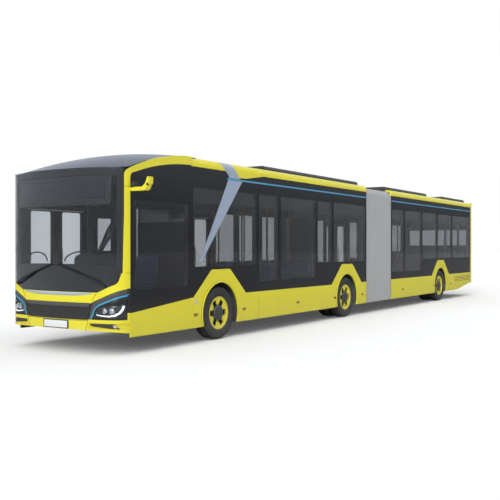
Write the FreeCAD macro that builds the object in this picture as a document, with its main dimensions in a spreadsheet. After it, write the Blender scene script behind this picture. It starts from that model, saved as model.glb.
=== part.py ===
# Low-floor articulated city bus, full size, in millimetres.
# +Z is up from the ground, the front faces -Y, and the left side is +X.
# The origin is on the ground at the middle of the box that holds the bus.

import FreeCAD
import Part
import Sketcher
import math
import os
import sys

os.makedirs("parts", exist_ok=True)
doc = FreeCAD.newDocument("articulated_bus")
Vector = FreeCAD.Vector

# Driving dimensions, each a row of the document's sheet.
DIMENSIONS = {
    # overall
    "body_width": 2550,
    "front_overhang": 2775,
    "front_wheelbase": 5200,
    "rear_wheelbase": 6680,
    "rear_overhang": 3405,
    "wiper_reach": 50,
    "front_car_tail": 1095,
    "bellows_length": 1620,
    "pivot_setback": 810,
    # heights of the body lines
    "skirt_bottom": 276,
    "floor_bottom": 260,
    "floor_height": 360,
    "belt_height": 806,
    "belt_front_height": 650,
    "ceiling_height": 2760,
    "deck_rise": 40,
    "wall_rise": 195,
    "fairing_height": 260,
    "unit_height": 325,
    # walls and roof
    "wall_thickness": 60,
    "skirt_thickness": 40,
    "pane_thickness": 8,
    "cove_radius": 120,
    "fairing_thickness": 50,
    "fairing_lip": 60,
    # nose
    "nose_radius": 4500,
    "nose_corner_radius": 300,
    "nose_depth": 900,
    "mask_length": 370,
    "mask_thickness": 50,
    "bumper_bottom": 383,
    "bumper_side_bottom": 337,
    "mask_top": 1270,
    "pillar_depth": 97,
    "arch_run": 1530,
    "arch_inner_bow": 4600,
    "arch_outer_bow": 4280,
    "arch_inner_drop": 133,
    "arch_outer_drop": 56,
    "arch_inner_rise": 115,
    "arch_corner_drop": 115,
    "arch_inner_radius": 90,
    "arch_corner_radius": 120,
    "windscreen_bottom": 965,
    "windscreen_drop": 52,
    "windscreen_side_inset": 51,
    "windscreen_foot_half": 850,
    "windscreen_knee_height": 1107,
    "windscreen_knee_inset": 100,
    "windscreen_side_start": 1300,
    "windscreen_thickness": 12,
    "windscreen_corner_radius": 90,
    # nose cap
    "cap_bow": 5500,
    "cap_crown": 115,
    "cap_sweep_angle": 70,
    "cap_inset": 6,
    "cap_gap": 10,
    # grille, lamps and fog slots
    "grille_half": 672,
    "grille_top_half": 742,
    "grille_bottom": 537,
    "grille_top": 804,
    "grille_recess": 10,
    "grille_corner_radius": 24,
    "lamp_inner": 690,
    "lamp_bottom": 545,
    "lamp_shoulder": 757,
    "lamp_shoulder_height": 815,
    "lamp_side_top": 1031,
    "lamp_thickness": 44,
    "fog_inner": 705,
    "fog_bottom": 400,
    "fog_top": 490,
    "fog_depth": 22,
    # tyres, rims and wheel arches
    "tyre_radius": 478,
    "tyre_width": 275,
    "tyre_inset": 30,
    "tyre_shoulder": 42,
    "tyre_crown_drop": 12,
    "rim_radius": 296,
    "rim_bead_radius": 286,
    "rim_wall": 14,
    "rim_disc_thickness": 20,
    "rim_disc_inset": 62,
    "hub_radius": 118,
    "hub_length": 77,
    "hub_cap_radius": 132,
    "slot_radius": 38,
    "slot_place": 202,
    "stub_radius": 42,
    "stub_clearance": 0.3,
    "twin_gap": 36,
    "arch_opening_radius": 552,
    "arch_foot_half": 815,
    "arch_top_half": 290,
    "arch_top_height": 1270,
    "arch_top_radius": 90,
    "arch_lip_width": 60,
    "arch_lip_depth": 16,
    # wheel boxes in the floor
    "box_wall": 30,
    "steer_box_depth": 645,
    "steer_box_half": 600,
    "drive_box_depth": 705,
    "drive_box_half": 560,
    "box_roof_gap": 90,
    "tail_floor_height": 560,
    "jack_pad_radius": 60,
    "jack_pad_depth": 20,
    "jack_inset": 175,
    "jack_setback": 300,
    # steering
    "kingpin_inset": 245,
    "kingpin_radius": 24,
    "kingpin_clearance": 0.3,
    "eye_radius": 46,
    "eye_height": 110,
    "lug_height": 34,
    "yoke_gap": 6,
    "yoke_thickness": 24,
    "beam_half_depth": 50,
    "beam_bottom": 150,
    "beam_height": 100,
    "beam_level_inset": 310,
    "beam_neck_inset": 130,
    "beam_neck_height": 84,
    "spring_seat_half": 420,
    "spring_seat_radius": 46,
    "arm_length": 190,
    "arm_half_width": 22,
    "tie_pin_radius": 13,
    "tie_eye_radius": 28,
    "tie_eye_height": 34,
    "tie_rod_radius": 16,
    "tie_rod_height": 214,
    "tie_drop_start": 100,
    "tie_drop_end": 250,
    # driven axles
    "portal_tube_radius": 46,
    "portal_tube_height": 206,
    "portal_case_width": 72,
    "portal_case_inset": 613,
    "portal_case_half": 130,
    "portal_case_top": 600,
    # turntable
    "ring_radius": 460,
    "ring_wall": 70,
    "lower_bottom": 190,
    "turntable_gap": 0.3,
    "drawbar_half": 380,
    "drawbar_overlap": 300,
    "plate_radius": 770,
    "plate_thickness": 30,
    # bellows
    "bellows_side_inset": 10,
    "bellows_bottom": 268,
    "bellows_top_inset": 40,
    "bellows_corner_radius": 190,
    "bellows_wall": 30,
    "pleat_depth": 50,
    "pleat_pitch": 96,
    "end_frame_depth": 40,
    "gangway_inset": 275,
    "gangway_drop": 310,
    # camera arms
    "camera_arm_drop": 370,
    "camera_arm_root": 58,
    "camera_arm_rise": 205,
    "camera_arm_reach": 370,
    "camera_arm_width": 72,
    "camera_arm_tip": 34,
    "camera_arm_depth": 100,
    "camera_arm_radius": 60,
    "camera_arm_setback": 425,
    # wipers
    "wiper_thickness": 24,
    "wiper_pivot_inset": 175,
    "wiper_pivot_height": 1010,
    "wiper_pivot_radius": 26,
    "wiper_arm_width": 30,
    "blade_width": 36,
    "blade_inner": 60,
    "blade_outer": 890,
    "blade_inner_height": 1400,
    "blade_outer_height": 1140,
    # roof units
    "unit_inset": 195,
    "battery_height": 195,
    "unit_corner_radius": 70,
    "fan_radius": 250,
    "fan_depth": 60,
    "fan_place": 500,
    "fan_pitch": 900,
    # doors
    "door_setback": 1182,
    "door_2_setback": 5150,
    "door_3_setback": 1673,
    "doorway_half": 692,
    "doorway_drop": 415,
    "leaf_thickness": 40,
    "leaf_gap": 10,
    "leaf_frame": 90,
    "leaf_middle_frame": 122,
    "leaf_head": 30,
    "leaf_glass_bottom": 520,
    "leaf_pin_radius": 12,
    "leaf_pin_length": 24,
    "pin_clearance": 0.3,
    "sill_depth": 30,
    # side windows
    "window_drop": 60,
    "window_bottom": 1000,
    "arch_window_bottom": 1330,
    "driver_window_drop": 370,
    "window_post": 100,
    "window_radius": 45,
    "seam_gap": 5,
    # rear
    "tail_lamp_inset": 60,
    "tail_lamp_width": 130,
    "tail_lamp_bottom": 760,
    "tail_lamp_top": 1250,
    "rear_corner_radius": 230,
    "rear_mask_length": 330,
    "rear_mask_bottom": 452,
    "rear_window_inset": 225,
    "rear_window_bottom": 1740,
    "rear_window_top": 2280,
    "tail_rise_setback": 1630,
    "louvre_setback": 555,
    "louvre_inset": 45,
    "louvre_bottom": 556,
    "louvre_height": 14,
    "louvre_pitch": 46,
    "louvre_depth": 12,
    "tow_socket_place": 400,
    "tow_socket_height": 540,
    "tow_socket_radius": 20,
    "tow_socket_depth": 140,
    "tow_boss_radius": 44,
    # inside
    "seat_width": 880,
    "seat_depth": 440,
    "seat_height": 460,
    "seat_back_height": 980,
    "seat_pad": 70,
    "seat_pitch": 780,
    "rail_radius": 17,
    "platform_height": 560,
    "dash_height": 1010,
    "dash_gap": 12,
    "steering_wheel_radius": 225,
    "steering_wheel_rim": 16,
    "steering_wheel_height": 1190,
    "steering_column_radius": 34,
    "steering_setback": 360,
    "driver_seat_half": 250,
    "cab_inner": 150,
    "cab_length": 1390,
    "partition_thickness": 40,
    "partition_height": 2100,
    "seat_leg": 110,
    "seat_lean": 70,
}


class Size:
    """A value and the expression over the sheet's cells that gives it."""

    def __init__(self, text, value):
        self.text = text
        self.value = value

    def __add__(self, other):
        other = sized(other)
        return Size(f"({self.text} + {other.text})", self.value + other.value)

    def __sub__(self, other):
        other = sized(other)
        return Size(f"({self.text} - {other.text})", self.value - other.value)

    def __mul__(self, other):
        other = sized(other)
        return Size(f"({self.text} * {other.text})", self.value * other.value)

    def __truediv__(self, other):
        other = sized(other)
        return Size(f"({self.text} / {other.text})", self.value / other.value)

    def __neg__(self):
        return Size(f"(-{self.text})", -self.value)

    def __radd__(self, other):
        return sized(other) + self

    def __rsub__(self, other):
        return sized(other) - self

    def __rmul__(self, other):
        return sized(other) * self


def sized(item):
    if isinstance(item, Size):
        return item
    return Size(f"({float(item)!r})", float(item))


def root(item):
    return Size(f"sqrt({item.text})", math.sqrt(item.value))


ZERO = sized(0)


class Cells:
    """The sheet's cells, by alias."""


sheet = doc.addObject("Spreadsheet::Sheet", "sizes")
size = Cells()
for row, (alias, amount) in enumerate(DIMENSIONS.items(), start=1):
    sheet.set(f"A{row}", alias)
    sheet.set(f"B{row}", str(amount))
    sheet.setAlias(f"B{row}", alias)
    setattr(size, alias, Size(f"sizes.{alias}", float(amount)))
doc.recompute()

# Places that follow from the driving dimensions.
half_width = size.body_width / 2
front_car_length = size.front_overhang + size.front_wheelbase + size.front_car_tail
body_length = size.front_overhang + size.front_wheelbase + size.rear_wheelbase + size.rear_overhang
front_face = (size.wiper_reach - body_length) / 2
rear_face = front_face + body_length
front_axle_y = front_face + size.front_overhang
middle_axle_y = front_axle_y + size.front_wheelbase
rear_axle_y = middle_axle_y + size.rear_wheelbase
front_car_end = front_face + front_car_length
rear_car_start = front_car_end + size.bellows_length
pivot_y = front_car_end + size.pivot_setback
mask_end = front_face + size.mask_length
arch_end = mask_end + size.arch_run
rear_mask_start = rear_face - size.rear_mask_length
wall_inner = half_width - size.wall_thickness
skirt_inner = half_width - size.skirt_thickness
overrun = size.wall_thickness * 2
door_1_y = front_face + size.door_setback
door_2_y = front_face + size.door_2_setback
door_3_y = rear_car_start + size.door_3_setback
axle_height = size.tyre_radius

# Heights that follow the ceiling.
wall_top = size.ceiling_height + size.wall_rise
deck_height = wall_top + size.deck_rise
roof_side_top = wall_top + size.fairing_height
unit_top = deck_height + size.unit_height
battery_top = deck_height + size.battery_height
windscreen_top = wall_top - size.windscreen_drop
arch_inner_start = wall_top - size.arch_inner_drop
arch_outer_start = wall_top - size.arch_outer_drop
arch_inner_end = wall_top + size.arch_inner_rise
arch_corner_height = wall_top - size.arch_corner_drop
bellows_top = roof_side_top - size.bellows_top_inset
gangway_top = size.ceiling_height - size.gangway_drop
doorway_top = size.ceiling_height - size.doorway_drop
window_top = size.ceiling_height - size.window_drop
driver_window_top = size.ceiling_height - size.driver_window_drop

# Places across that follow the sides.
tyre_face = half_width - size.tyre_inset
kingpin_half = tyre_face - size.kingpin_inset
portal_case_outer = tyre_face - size.portal_case_inset
portal_case_inner = portal_case_outer - size.portal_case_width
bellows_half = half_width - size.bellows_side_inset


def corner(across, up, radius=None):
    """A vertex of an outline, rounded where it has a radius."""
    return {"across": sized(across), "up": sized(up), "radius": radius, "bow": None}


def bowed(across, up, bow):
    """A vertex from which an arc of the radius bow leads to the next one."""
    vertex = corner(across, up)
    vertex["bow"] = sized(bow)
    return vertex


def rectangle(left, right, bottom, top, radius=None):
    """The four vertices of a box outline, anticlockwise."""
    return [
        corner(left, bottom, radius),
        corner(right, bottom, radius),
        corner(right, top, radius),
        corner(left, top, radius),
    ]


def flat(vertex):
    return Vector(vertex["across"].value, vertex["up"].value, 0)


def tie(sketch, piece, end, vertex):
    """Holds one end of a curve at a vertex's named place."""
    for kind, amount in (("DistanceX", vertex["across"]), ("DistanceY", vertex["up"])):
        index = sketch.addConstraint(
            Sketcher.Constraint(kind, -1, 1, piece, end, amount.value)
        )
        sketch.setExpression(f"Constraints[{index}]", amount.text)


def bow_arc(start, end, bow):
    """The shorter arc from start to end that turns left for a positive bow."""
    chord = end - start
    middle = (start + end) * 0.5
    side = Vector(-chord.y, chord.x, 0).normalize()
    if bow < 0:
        side = side * -1
    rise = math.sqrt(max(bow * bow - chord.Length * chord.Length / 4, 0))
    centre = middle + side * rise
    through = middle - side * (abs(bow) - rise)
    arc = Part.Arc(start, through, end).toShape().Curve
    first = math.atan2(start.y - centre.y, start.x - centre.x)
    last = math.atan2(end.y - centre.y, end.x - centre.x)
    circle = Part.Circle(centre, Vector(0, 0, 1), arc.Radius)
    if bow > 0:
        return Part.ArcOfCircle(circle, first, last), 1, 2
    return Part.ArcOfCircle(circle, last, first), 2, 1


def draw(sketch, vertices):
    """Draws one closed outline and holds each vertex at its named place."""
    count = len(vertices)
    places = [flat(v) for v in vertices]
    entry = list(places)
    leave = list(places)
    rounding = {}
    for i, vertex in enumerate(vertices):
        if vertex["radius"] is None:
            continue
        back = (places[i - 1] - places[i]).normalize()
        ahead = (places[(i + 1) % count] - places[i]).normalize()
        half_angle = back.getAngle(ahead) / 2
        radius = vertex["radius"].value
        entry[i] = places[i] + back * (radius / math.tan(half_angle))
        leave[i] = places[i] + ahead * (radius / math.tan(half_angle))
        middle = (back + ahead).normalize()
        centre = places[i] + middle * (radius / math.sin(half_angle))
        turns_left = ahead.cross(back).z > 0
        first = math.atan2(entry[i].y - centre.y, entry[i].x - centre.x)
        last = math.atan2(leave[i].y - centre.y, leave[i].x - centre.x)
        circle = Part.Circle(centre, Vector(0, 0, 1), radius)
        if turns_left:
            rounding[i] = (Part.ArcOfCircle(circle, first, last), 1, 2)
        else:
            rounding[i] = (Part.ArcOfCircle(circle, last, first), 2, 1)
    edges = []
    for i, vertex in enumerate(vertices):
        after = (i + 1) % count
        if vertex["bow"] is None:
            line = Part.LineSegment(leave[i], entry[after])
            edges.append((sketch.addGeometry(line, False), 1, 2))
        else:
            arc, start, end = bow_arc(leave[i], entry[after], vertex["bow"].value)
            edges.append((sketch.addGeometry(arc, False), start, end))
            index = sketch.addConstraint(
                Sketcher.Constraint("Radius", edges[-1][0], abs(vertex["bow"].value))
            )
            sketch.setExpression(f"Constraints[{index}]", f"abs({vertex['bow'].text})")
    for i, vertex in enumerate(vertices):
        before = edges[i - 1]
        after = edges[i]
        if i not in rounding:
            sketch.addConstraint(
                Sketcher.Constraint("Coincident", before[0], before[2], after[0], after[1])
            )
            tie(sketch, after[0], after[1], vertex)
            continue
        arc, start, end = rounding[i]
        piece = sketch.addGeometry(arc, False)
        point = sketch.addGeometry(Part.Point(places[i]), True)
        sketch.addConstraint(
            [
                Sketcher.Constraint("Tangent", before[0], before[2], piece, start),
                Sketcher.Constraint("Tangent", piece, end, after[0], after[1]),
                Sketcher.Constraint("PointOnObject", point, 1, before[0]),
                Sketcher.Constraint("PointOnObject", point, 1, after[0]),
            ]
        )
        index = sketch.addConstraint(Sketcher.Constraint("Radius", piece, vertex["radius"].value))
        sketch.setExpression(f"Constraints[{index}]", vertex["radius"].text)
        tie(sketch, point, 1, vertex)


PLANES = {"x": "YZ_Plane", "y": "XZ_Plane", "z": "XY_Plane"}


def sketched(body, axis, place, outlines):
    """A sketch of closed outlines across one axis of a body, at a named place."""
    sketch = body.newObject("Sketcher::SketchObject", f"{body.Name}_outline")
    plane = [f for f in body.Origin.OriginFeatures if f.Role == PLANES[axis]][0]
    sketch.AttachmentSupport = [(plane, "")]
    sketch.MapMode = "FlatFace"
    offset = -place if axis == "y" else place
    sketch.setExpression("AttachmentOffset.Base.z", offset.text)
    for outline in outlines:
        draw(sketch, outline)
    return sketch


def extruded(label, axis, start, end, *outlines):
    """A pad of closed outlines from start to end along one axis.

    Across x an outline is given as (y, z), across y as (x, z), across z as (x, y)."""
    start = sized(start)
    end = sized(end)
    body = doc.addObject("PartDesign::Body", label)
    body.AllowCompound = True
    sketch = sketched(body, axis, end if axis == "y" else start, outlines)
    pad = body.newObject("PartDesign::Pad", f"{label}_pad")
    pad.Profile = sketch
    pad.setExpression("Length", (end - start).text)
    return body


def place(shape, x, y, z):
    for letter, amount in (("x", x), ("y", y), ("z", z)):
        shape.setExpression(f"Placement.Base.{letter}", sized(amount).text)
    return shape


def box(label, x_low, x_high, y_low, y_high, z_low, z_high):
    """A plain box between named faces."""
    solid = doc.addObject("Part::Box", label)
    solid.setExpression("Length", (sized(x_high) - x_low).text)
    solid.setExpression("Width", (sized(y_high) - y_low).text)
    solid.setExpression("Height", (sized(z_high) - z_low).text)
    return place(solid, x_low, y_low, z_low)


TURNS = {
    "x": FreeCAD.Rotation(Vector(0, 1, 0), 90),
    "y": FreeCAD.Rotation(Vector(1, 0, 0), -90),
    "z": FreeCAD.Rotation(),
}


def rod(label, axis, radius, start, end, first, second):
    """A round bar along one axis; first and second are its other two coordinates."""
    solid = doc.addObject("Part::Cylinder", label)
    solid.setExpression("Radius", sized(radius).text)
    solid.setExpression("Height", (sized(end) - start).text)
    solid.Placement = FreeCAD.Placement(Vector(), TURNS[axis])
    where = {"x": (start, first, second), "y": (first, start, second), "z": (first, second, start)}
    return place(solid, *where[axis])


def cone(label, axis, first_radius, last_radius, start, end, first, second):
    """A tapered bar along one axis."""
    solid = doc.addObject("Part::Cone", label)
    solid.setExpression("Radius1", sized(first_radius).text)
    solid.setExpression("Radius2", sized(last_radius).text)
    solid.setExpression("Height", (sized(end) - start).text)
    solid.Placement = FreeCAD.Placement(Vector(), TURNS[axis])
    where = {"x": (start, first, second), "y": (first, start, second), "z": (first, second, start)}
    return place(solid, *where[axis])


def cut(label, base, *tools):
    tool = tools[0] if len(tools) == 1 else fused(f"{label}_tools", *tools)
    result = doc.addObject("Part::Cut", label)
    result.Base = base
    result.Tool = tool
    return result


def fused(label, *pieces):
    result = doc.addObject("Part::MultiFuse", label)
    result.Shapes = list(pieces)
    return result


def common(label, *pieces):
    result = doc.addObject("Part::MultiCommon", label)
    result.Shapes = list(pieces)
    return result


def group(label, *pieces):
    """Like pieces that don't touch, kept together."""
    result = doc.addObject("Part::Compound", label)
    result.Links = list(pieces)
    return result


def mirrored(label, source):
    """The same piece on the other side of the bus's middle plane."""
    result = doc.addObject("Part::Mirroring", label)
    result.Source = source
    result.Normal = Vector(1, 0, 0)
    return result


def moved(label, source, y):
    """A copy of a piece, moved along the bus."""
    result = doc.addObject("Part::Compound", label)
    result.Links = [source]
    return place(result, ZERO, y, ZERO)


def panels(label, axis, start, end, outlines):
    """Like plates between the same two planes, one for each outline."""
    plates = [
        extruded(f"{label}_{i}", axis, start, end, outline)
        for i, outline in enumerate(outlines, start=1)
    ]
    return group(label, *plates)


nodes = []


def keep(piece):
    """Marks a finished piece, which goes into a file named by its label."""
    nodes.append(piece)
    return piece


# Plan of the nose: one wide arc, two corner arcs and straight sides.
def nose_plan(inset, end):
    wide = size.nose_radius - inset
    tight = size.nose_corner_radius - inset
    half = half_width - inset
    front = front_face + inset
    wide_centre = front + wide
    across = half - tight
    corner_centre = wide_centre - root((wide - tight) * (wide - tight) - across * across)
    meet_across = across * wide / (wide - tight)
    meet_along = wide_centre - (wide_centre - corner_centre) * wide / (wide - tight)
    return [
        bowed(-meet_across, meet_along, wide),
        bowed(meet_across, meet_along, tight),
        corner(half, corner_centre),
        corner(half, end),
        corner(-half, end),
        bowed(-half, corner_centre, tight),
    ]


nose_end = front_face + size.nose_depth


def nose_shell(label, inset, thickness, bottom, top, end=nose_end):
    """A curved wall that follows the plan of the nose."""
    outer = extruded(f"{label}_outer", "z", bottom, top, nose_plan(inset, end))
    inner = extruded(
        f"{label}_inner", "z", bottom - overrun, top + overrun,
        nose_plan(inset + thickness, end + overrun),
    )
    return cut(f"{label}_wall", outer, inner)


# Windscreen, and the outline that it leaves in the nose.
def windscreen_outline(gap):
    bottom = size.windscreen_bottom - gap
    knee = size.windscreen_knee_height - gap
    half = half_width - size.windscreen_side_inset + gap
    foot = size.windscreen_foot_half
    knee_half = half_width - size.windscreen_knee_inset + gap / 2
    top = windscreen_top
    return [
        corner(-foot, bottom),
        corner(foot, bottom),
        corner(knee_half, knee, size.windscreen_corner_radius),
        corner(half, size.windscreen_side_start),
        corner(half, top, size.windscreen_corner_radius),
        corner(-half, top, size.windscreen_corner_radius),
        corner(-half, size.windscreen_side_start),
        corner(-knee_half, knee, size.windscreen_corner_radius),
    ]


nose_front = front_face - overrun
screen_shell = nose_shell(
    "screen", ZERO, size.windscreen_thickness, size.windscreen_bottom - overrun,
    windscreen_top + overrun,
)
screen_shape = extruded(
    "screen_shape", "y", nose_front, mask_end, windscreen_outline(ZERO)
)
keep(common("windscreen", screen_shell, screen_shape))

# Front mask: bumper, lower front and the feet of the corner pillars.
mask_shell = nose_shell(
    "mask", ZERO, size.mask_thickness, size.bumper_side_bottom, size.mask_top
)
behind_mask = box(
    "behind_mask", -half_width - overrun, half_width + overrun, mask_end, nose_end + overrun,
    ZERO, size.mask_top + overrun,
)
screen_hole = extruded(
    "screen_hole", "y", nose_front, mask_end + overrun, windscreen_outline(ZERO)
)


lamp_slope = (size.lamp_side_top - size.lamp_shoulder_height) / (half_width - size.lamp_shoulder)
lamp_high = size.lamp_side_top + lamp_slope * overrun


def lamp_outline(side):
    outline = [
        corner(size.lamp_inner * side, size.lamp_bottom, size.grille_corner_radius),
        corner((half_width + overrun) * side, size.lamp_bottom),
        corner((half_width + overrun) * side, lamp_high),
        corner(size.lamp_shoulder * side, size.lamp_shoulder_height, size.grille_corner_radius),
    ]
    return outline if side > 0 else outline[::-1]


def fog_outline(side):
    outline = rectangle(
        size.fog_inner, half_width + overrun, size.fog_bottom, size.fog_top
    )
    if side > 0:
        return outline
    return [corner(-v["across"], v["up"]) for v in outline][::-1]


lamp_holes = extruded(
    "lamp_holes", "y", nose_front, mask_end - size.lamp_thickness, lamp_outline(1), lamp_outline(-1)
)
grille_outline = [
    corner(-size.grille_half, size.grille_bottom, size.grille_corner_radius),
    corner(size.grille_half, size.grille_bottom, size.grille_corner_radius),
    corner(size.grille_top_half, size.grille_top, size.grille_corner_radius),
    corner(-size.grille_top_half, size.grille_top, size.grille_corner_radius),
]
grille_hole = extruded("grille_hole", "y", nose_front, mask_end, grille_outline)
fog_slots = cut(
    "fog_slots",
    extruded("fog_band", "y", nose_front, mask_end, fog_outline(1), fog_outline(-1)),
    extruded(
        "fog_backs", "z", size.fog_bottom - overrun, size.fog_top + overrun,
        nose_plan(size.fog_depth, nose_end),
    ),
)
bumper_rise = extruded(
    "bumper_rise", "x", -half_width - overrun, half_width + overrun,
    [
        corner(nose_front, size.bumper_side_bottom - overrun),
        corner(mask_end + overrun, size.bumper_side_bottom - overrun),
        corner(mask_end + overrun, size.bumper_side_bottom),
        corner(mask_end, size.bumper_side_bottom),
        corner(front_face, size.bumper_bottom),
        corner(nose_front, size.bumper_bottom),
    ],
)
keep(
    cut(
        "front_mask", mask_shell, behind_mask, screen_hole, lamp_holes, grille_hole, fog_slots,
        bumper_rise,
    )
)

# Headlamps wrap round the corners of the mask.
lamp_shell = nose_shell(
    "lamp", ZERO, size.mask_thickness, size.lamp_bottom - overrun, lamp_high
)
lamp_shapes = extruded(
    "lamp_shapes", "y", nose_front, mask_end - size.lamp_thickness, lamp_outline(1), lamp_outline(-1)
)
keep(common("headlamps", lamp_shell, lamp_shapes))

# Dark panel between the headlamps.
grille_shell = nose_shell(
    "grille", size.grille_recess, size.mask_thickness - size.grille_recess,
    size.grille_bottom - overrun, size.grille_top + overrun,
)
grille_shape = extruded("grille_shape", "y", nose_front, mask_end, grille_outline)
keep(common("front_grille", grille_shell, grille_shape))


# Corner pillars that turn back into the roof band.
pillar_front = mask_end - size.pillar_depth
pillar_shell = nose_shell(
    "pillar", ZERO, size.wall_thickness, size.mask_top, roof_side_top, arch_end
)
pillar_shape = extruded(
    "pillar_shape", "x", -half_width - overrun, half_width + overrun,
    [
        corner(pillar_front, size.mask_top),
        corner(mask_end, size.mask_top),
        corner(mask_end, arch_inner_start, size.arch_inner_radius),
        bowed(mask_end + size.arch_inner_radius, arch_inner_start + size.cap_gap, -size.arch_inner_bow),
        corner(arch_end, arch_inner_end),
        corner(arch_end, roof_side_top),
        bowed(arch_end - size.pillar_depth, roof_side_top, size.arch_outer_bow),
        corner(mask_end, arch_outer_start),
        corner(pillar_front, arch_corner_height, size.arch_corner_radius),
    ],
)
keep(common("corner_pillars", pillar_shell, pillar_shape))


# Nose cap: an arched section turned about an axis far below, from the windscreen's top edge up to
# the height of the roof units.
cap_rise = unit_top - windscreen_top
cap_end = front_face + root(size.cap_bow * cap_rise * 2 - cap_rise * cap_rise)
cap_axis = unit_top - size.cap_bow
cap_side = size.cap_bow - size.cap_crown
CAP_DEPTH_SHARE = 0.25
cap_inner = cap_side - roof_side_top * CAP_DEPTH_SHARE
cap_arch = (half_width * half_width + size.cap_crown * size.cap_crown) / (size.cap_crown * 2)
cap_body = doc.addObject("PartDesign::Body", "cap_barrel")
cap_section = sketched(
    cap_body, "y", cap_end,
    [
        [
            corner(-half_width, cap_inner),
            corner(half_width, cap_inner),
            bowed(half_width, cap_side, cap_arch),
            corner(-half_width, cap_side),
        ]
    ],
)
cap_section.setExpression("AttachmentOffset.Base.y", cap_axis.text)
cap_turn = cap_body.newObject("PartDesign::Revolution", "cap_turn")
cap_turn.Profile = cap_section
cap_turn.ReferenceAxis = (cap_section, ["H_Axis"])
cap_turn.Midplane = True
cap_turn.setExpression("Angle", size.cap_sweep_angle.text)
cap_plan = extruded(
    "cap_plan", "z", size.ceiling_height, unit_top + overrun,
    nose_plan(size.cap_inset, cap_end),
)
below_arch = extruded(
    "below_arch", "x", -half_width - overrun, half_width + overrun,
    [
        corner(nose_front, size.ceiling_height - overrun),
        corner(cap_end + overrun, size.ceiling_height - overrun),
        corner(cap_end + overrun, roof_side_top + size.cap_gap),
        bowed(
            arch_end - size.pillar_depth, roof_side_top + size.cap_gap, size.arch_outer_bow
        ),
        corner(mask_end, windscreen_top),
        corner(nose_front, windscreen_top),
    ],
)
cap_core = extruded(
    "cap_core", "z", size.ceiling_height - overrun, unit_top + overrun,
    nose_plan(size.wall_thickness, cap_end + overrun * 2),
)
cap_flank = cut("cap_flank", below_arch, cap_core)


# Roof: ceiling and deck with a fairing along each side.
def roof_outline():
    outer = half_width
    inner = half_width - size.fairing_thickness
    top = roof_side_top
    lip = outer - size.cove_radius - size.fairing_lip
    side = [
        corner(wall_inner, size.ceiling_height),
        corner(wall_inner, wall_top),
        corner(outer, wall_top),
        corner(outer, top, size.cove_radius),
        corner(lip, top),
        corner(lip, top - size.fairing_thickness),
        corner(inner, top - size.fairing_thickness, size.cove_radius - size.fairing_thickness),
        corner(inner, deck_height),
    ]
    other = [corner(-v["across"], v["up"], v["radius"]) for v in side]
    return side + other[::-1]


front_roof = keep(extruded("front_roof", "y", arch_end, front_car_end, roof_outline()))
keep(extruded("rear_roof", "y", rear_car_start, rear_mask_start, roof_outline()))
keep(cut("nose_cap", common("cap_trimmed", cap_body, cap_plan), cap_flank, front_roof))


# Side walls: a dark belt and window band from the skirts up to the roof.
def arch_trapezoid(axle):
    """Vertices of the wheel-arch surround above the belt, from front to rear."""
    return [
        corner(axle - size.arch_foot_half, size.belt_height),
        corner(axle - size.arch_top_half, size.arch_top_height, size.arch_top_radius),
        corner(axle + size.arch_top_half, size.arch_top_height, size.arch_top_radius),
        corner(axle + size.arch_foot_half, size.belt_height),
    ]


def front_wall_outline():
    return (
        [corner(mask_end, size.mask_top)]
        + [corner(mask_end, size.belt_front_height)]
        + arch_trapezoid(front_axle_y)
        + arch_trapezoid(middle_axle_y)
        + [
            corner(front_car_end, size.belt_height),
            corner(front_car_end, wall_top),
            corner(arch_end, wall_top),
            bowed(arch_end, arch_inner_end, size.arch_inner_bow),
            corner(mask_end + size.arch_inner_radius, arch_inner_start + size.cap_gap),
            corner(mask_end, arch_inner_start, size.arch_inner_radius),
        ]
    )


def rear_wall_outline():
    return (
        [corner(rear_car_start, size.belt_height)]
        + arch_trapezoid(rear_axle_y)
        + [
            corner(rear_mask_start, size.belt_height),
            corner(rear_mask_start, wall_top),
            corner(rear_car_start, wall_top),
        ]
    )


def window(start, end, bottom, top=window_top):
    """A window opening between two seams of the glass."""
    inset = size.window_post / 2
    return rectangle(start + inset, end - inset, bottom, top, size.window_radius)


def seam(car_start, length, share):
    return car_start + length * share


# Seams between the panes, as shares of each car's length behind its front.
FRONT_LEFT_SEAM_SHARES = (0.2095, 0.4423, 0.533, 0.709, 0.7955, 1)
REAR_LEFT_SEAM_SHARES = (0, 0.133, 0.327, 0.52, 0.72, 1)
rear_car_length = rear_mask_start - rear_car_start
front_left_seams = [seam(front_face, front_car_length, s) for s in FRONT_LEFT_SEAM_SHARES]
rear_left_seams = [seam(rear_car_start, rear_car_length, s) for s in REAR_LEFT_SEAM_SHARES]
low = size.window_bottom
high = size.arch_window_bottom
front_left_windows = [
    window(mask_end, front_left_seams[0], low, driver_window_top),
    window(front_left_seams[0], front_left_seams[1], high),
    window(front_left_seams[1], front_left_seams[2], low),
    window(front_left_seams[2], front_left_seams[3], low),
    window(front_left_seams[3], front_left_seams[4], high),
    window(front_left_seams[4], front_left_seams[5], high),
]
rear_left_windows = [
    window(rear_left_seams[0], rear_left_seams[1], low),
    window(rear_left_seams[1], rear_left_seams[2], low),
    window(rear_left_seams[2], rear_left_seams[3], high),
    window(rear_left_seams[3], rear_left_seams[4], high),
    window(rear_left_seams[4], rear_left_seams[5], high),
]


def between(start, end, count, bottom):
    """Even windows between two places along a wall."""
    pitch = (end - start) / count
    return [window(start + pitch * i, start + pitch * (i + 1), bottom) for i in range(count)]


door_half = size.doorway_half
front_right_windows = (
    between(door_1_y + door_half, door_2_y - door_half, 2, high)
    + between(door_2_y + door_half, front_car_end, 3, high)
)
rear_right_windows = (
    between(rear_car_start, door_3_y - door_half, 1, low)
    + between(door_3_y + door_half, rear_mask_start, 4, high)
)


def doorway(label, door_y, bottom, inner=wall_inner - overrun):
    return box(
        label, -half_width - overrun, -inner, door_y - door_half, door_y + door_half,
        bottom, doorway_top,
    )


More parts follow.
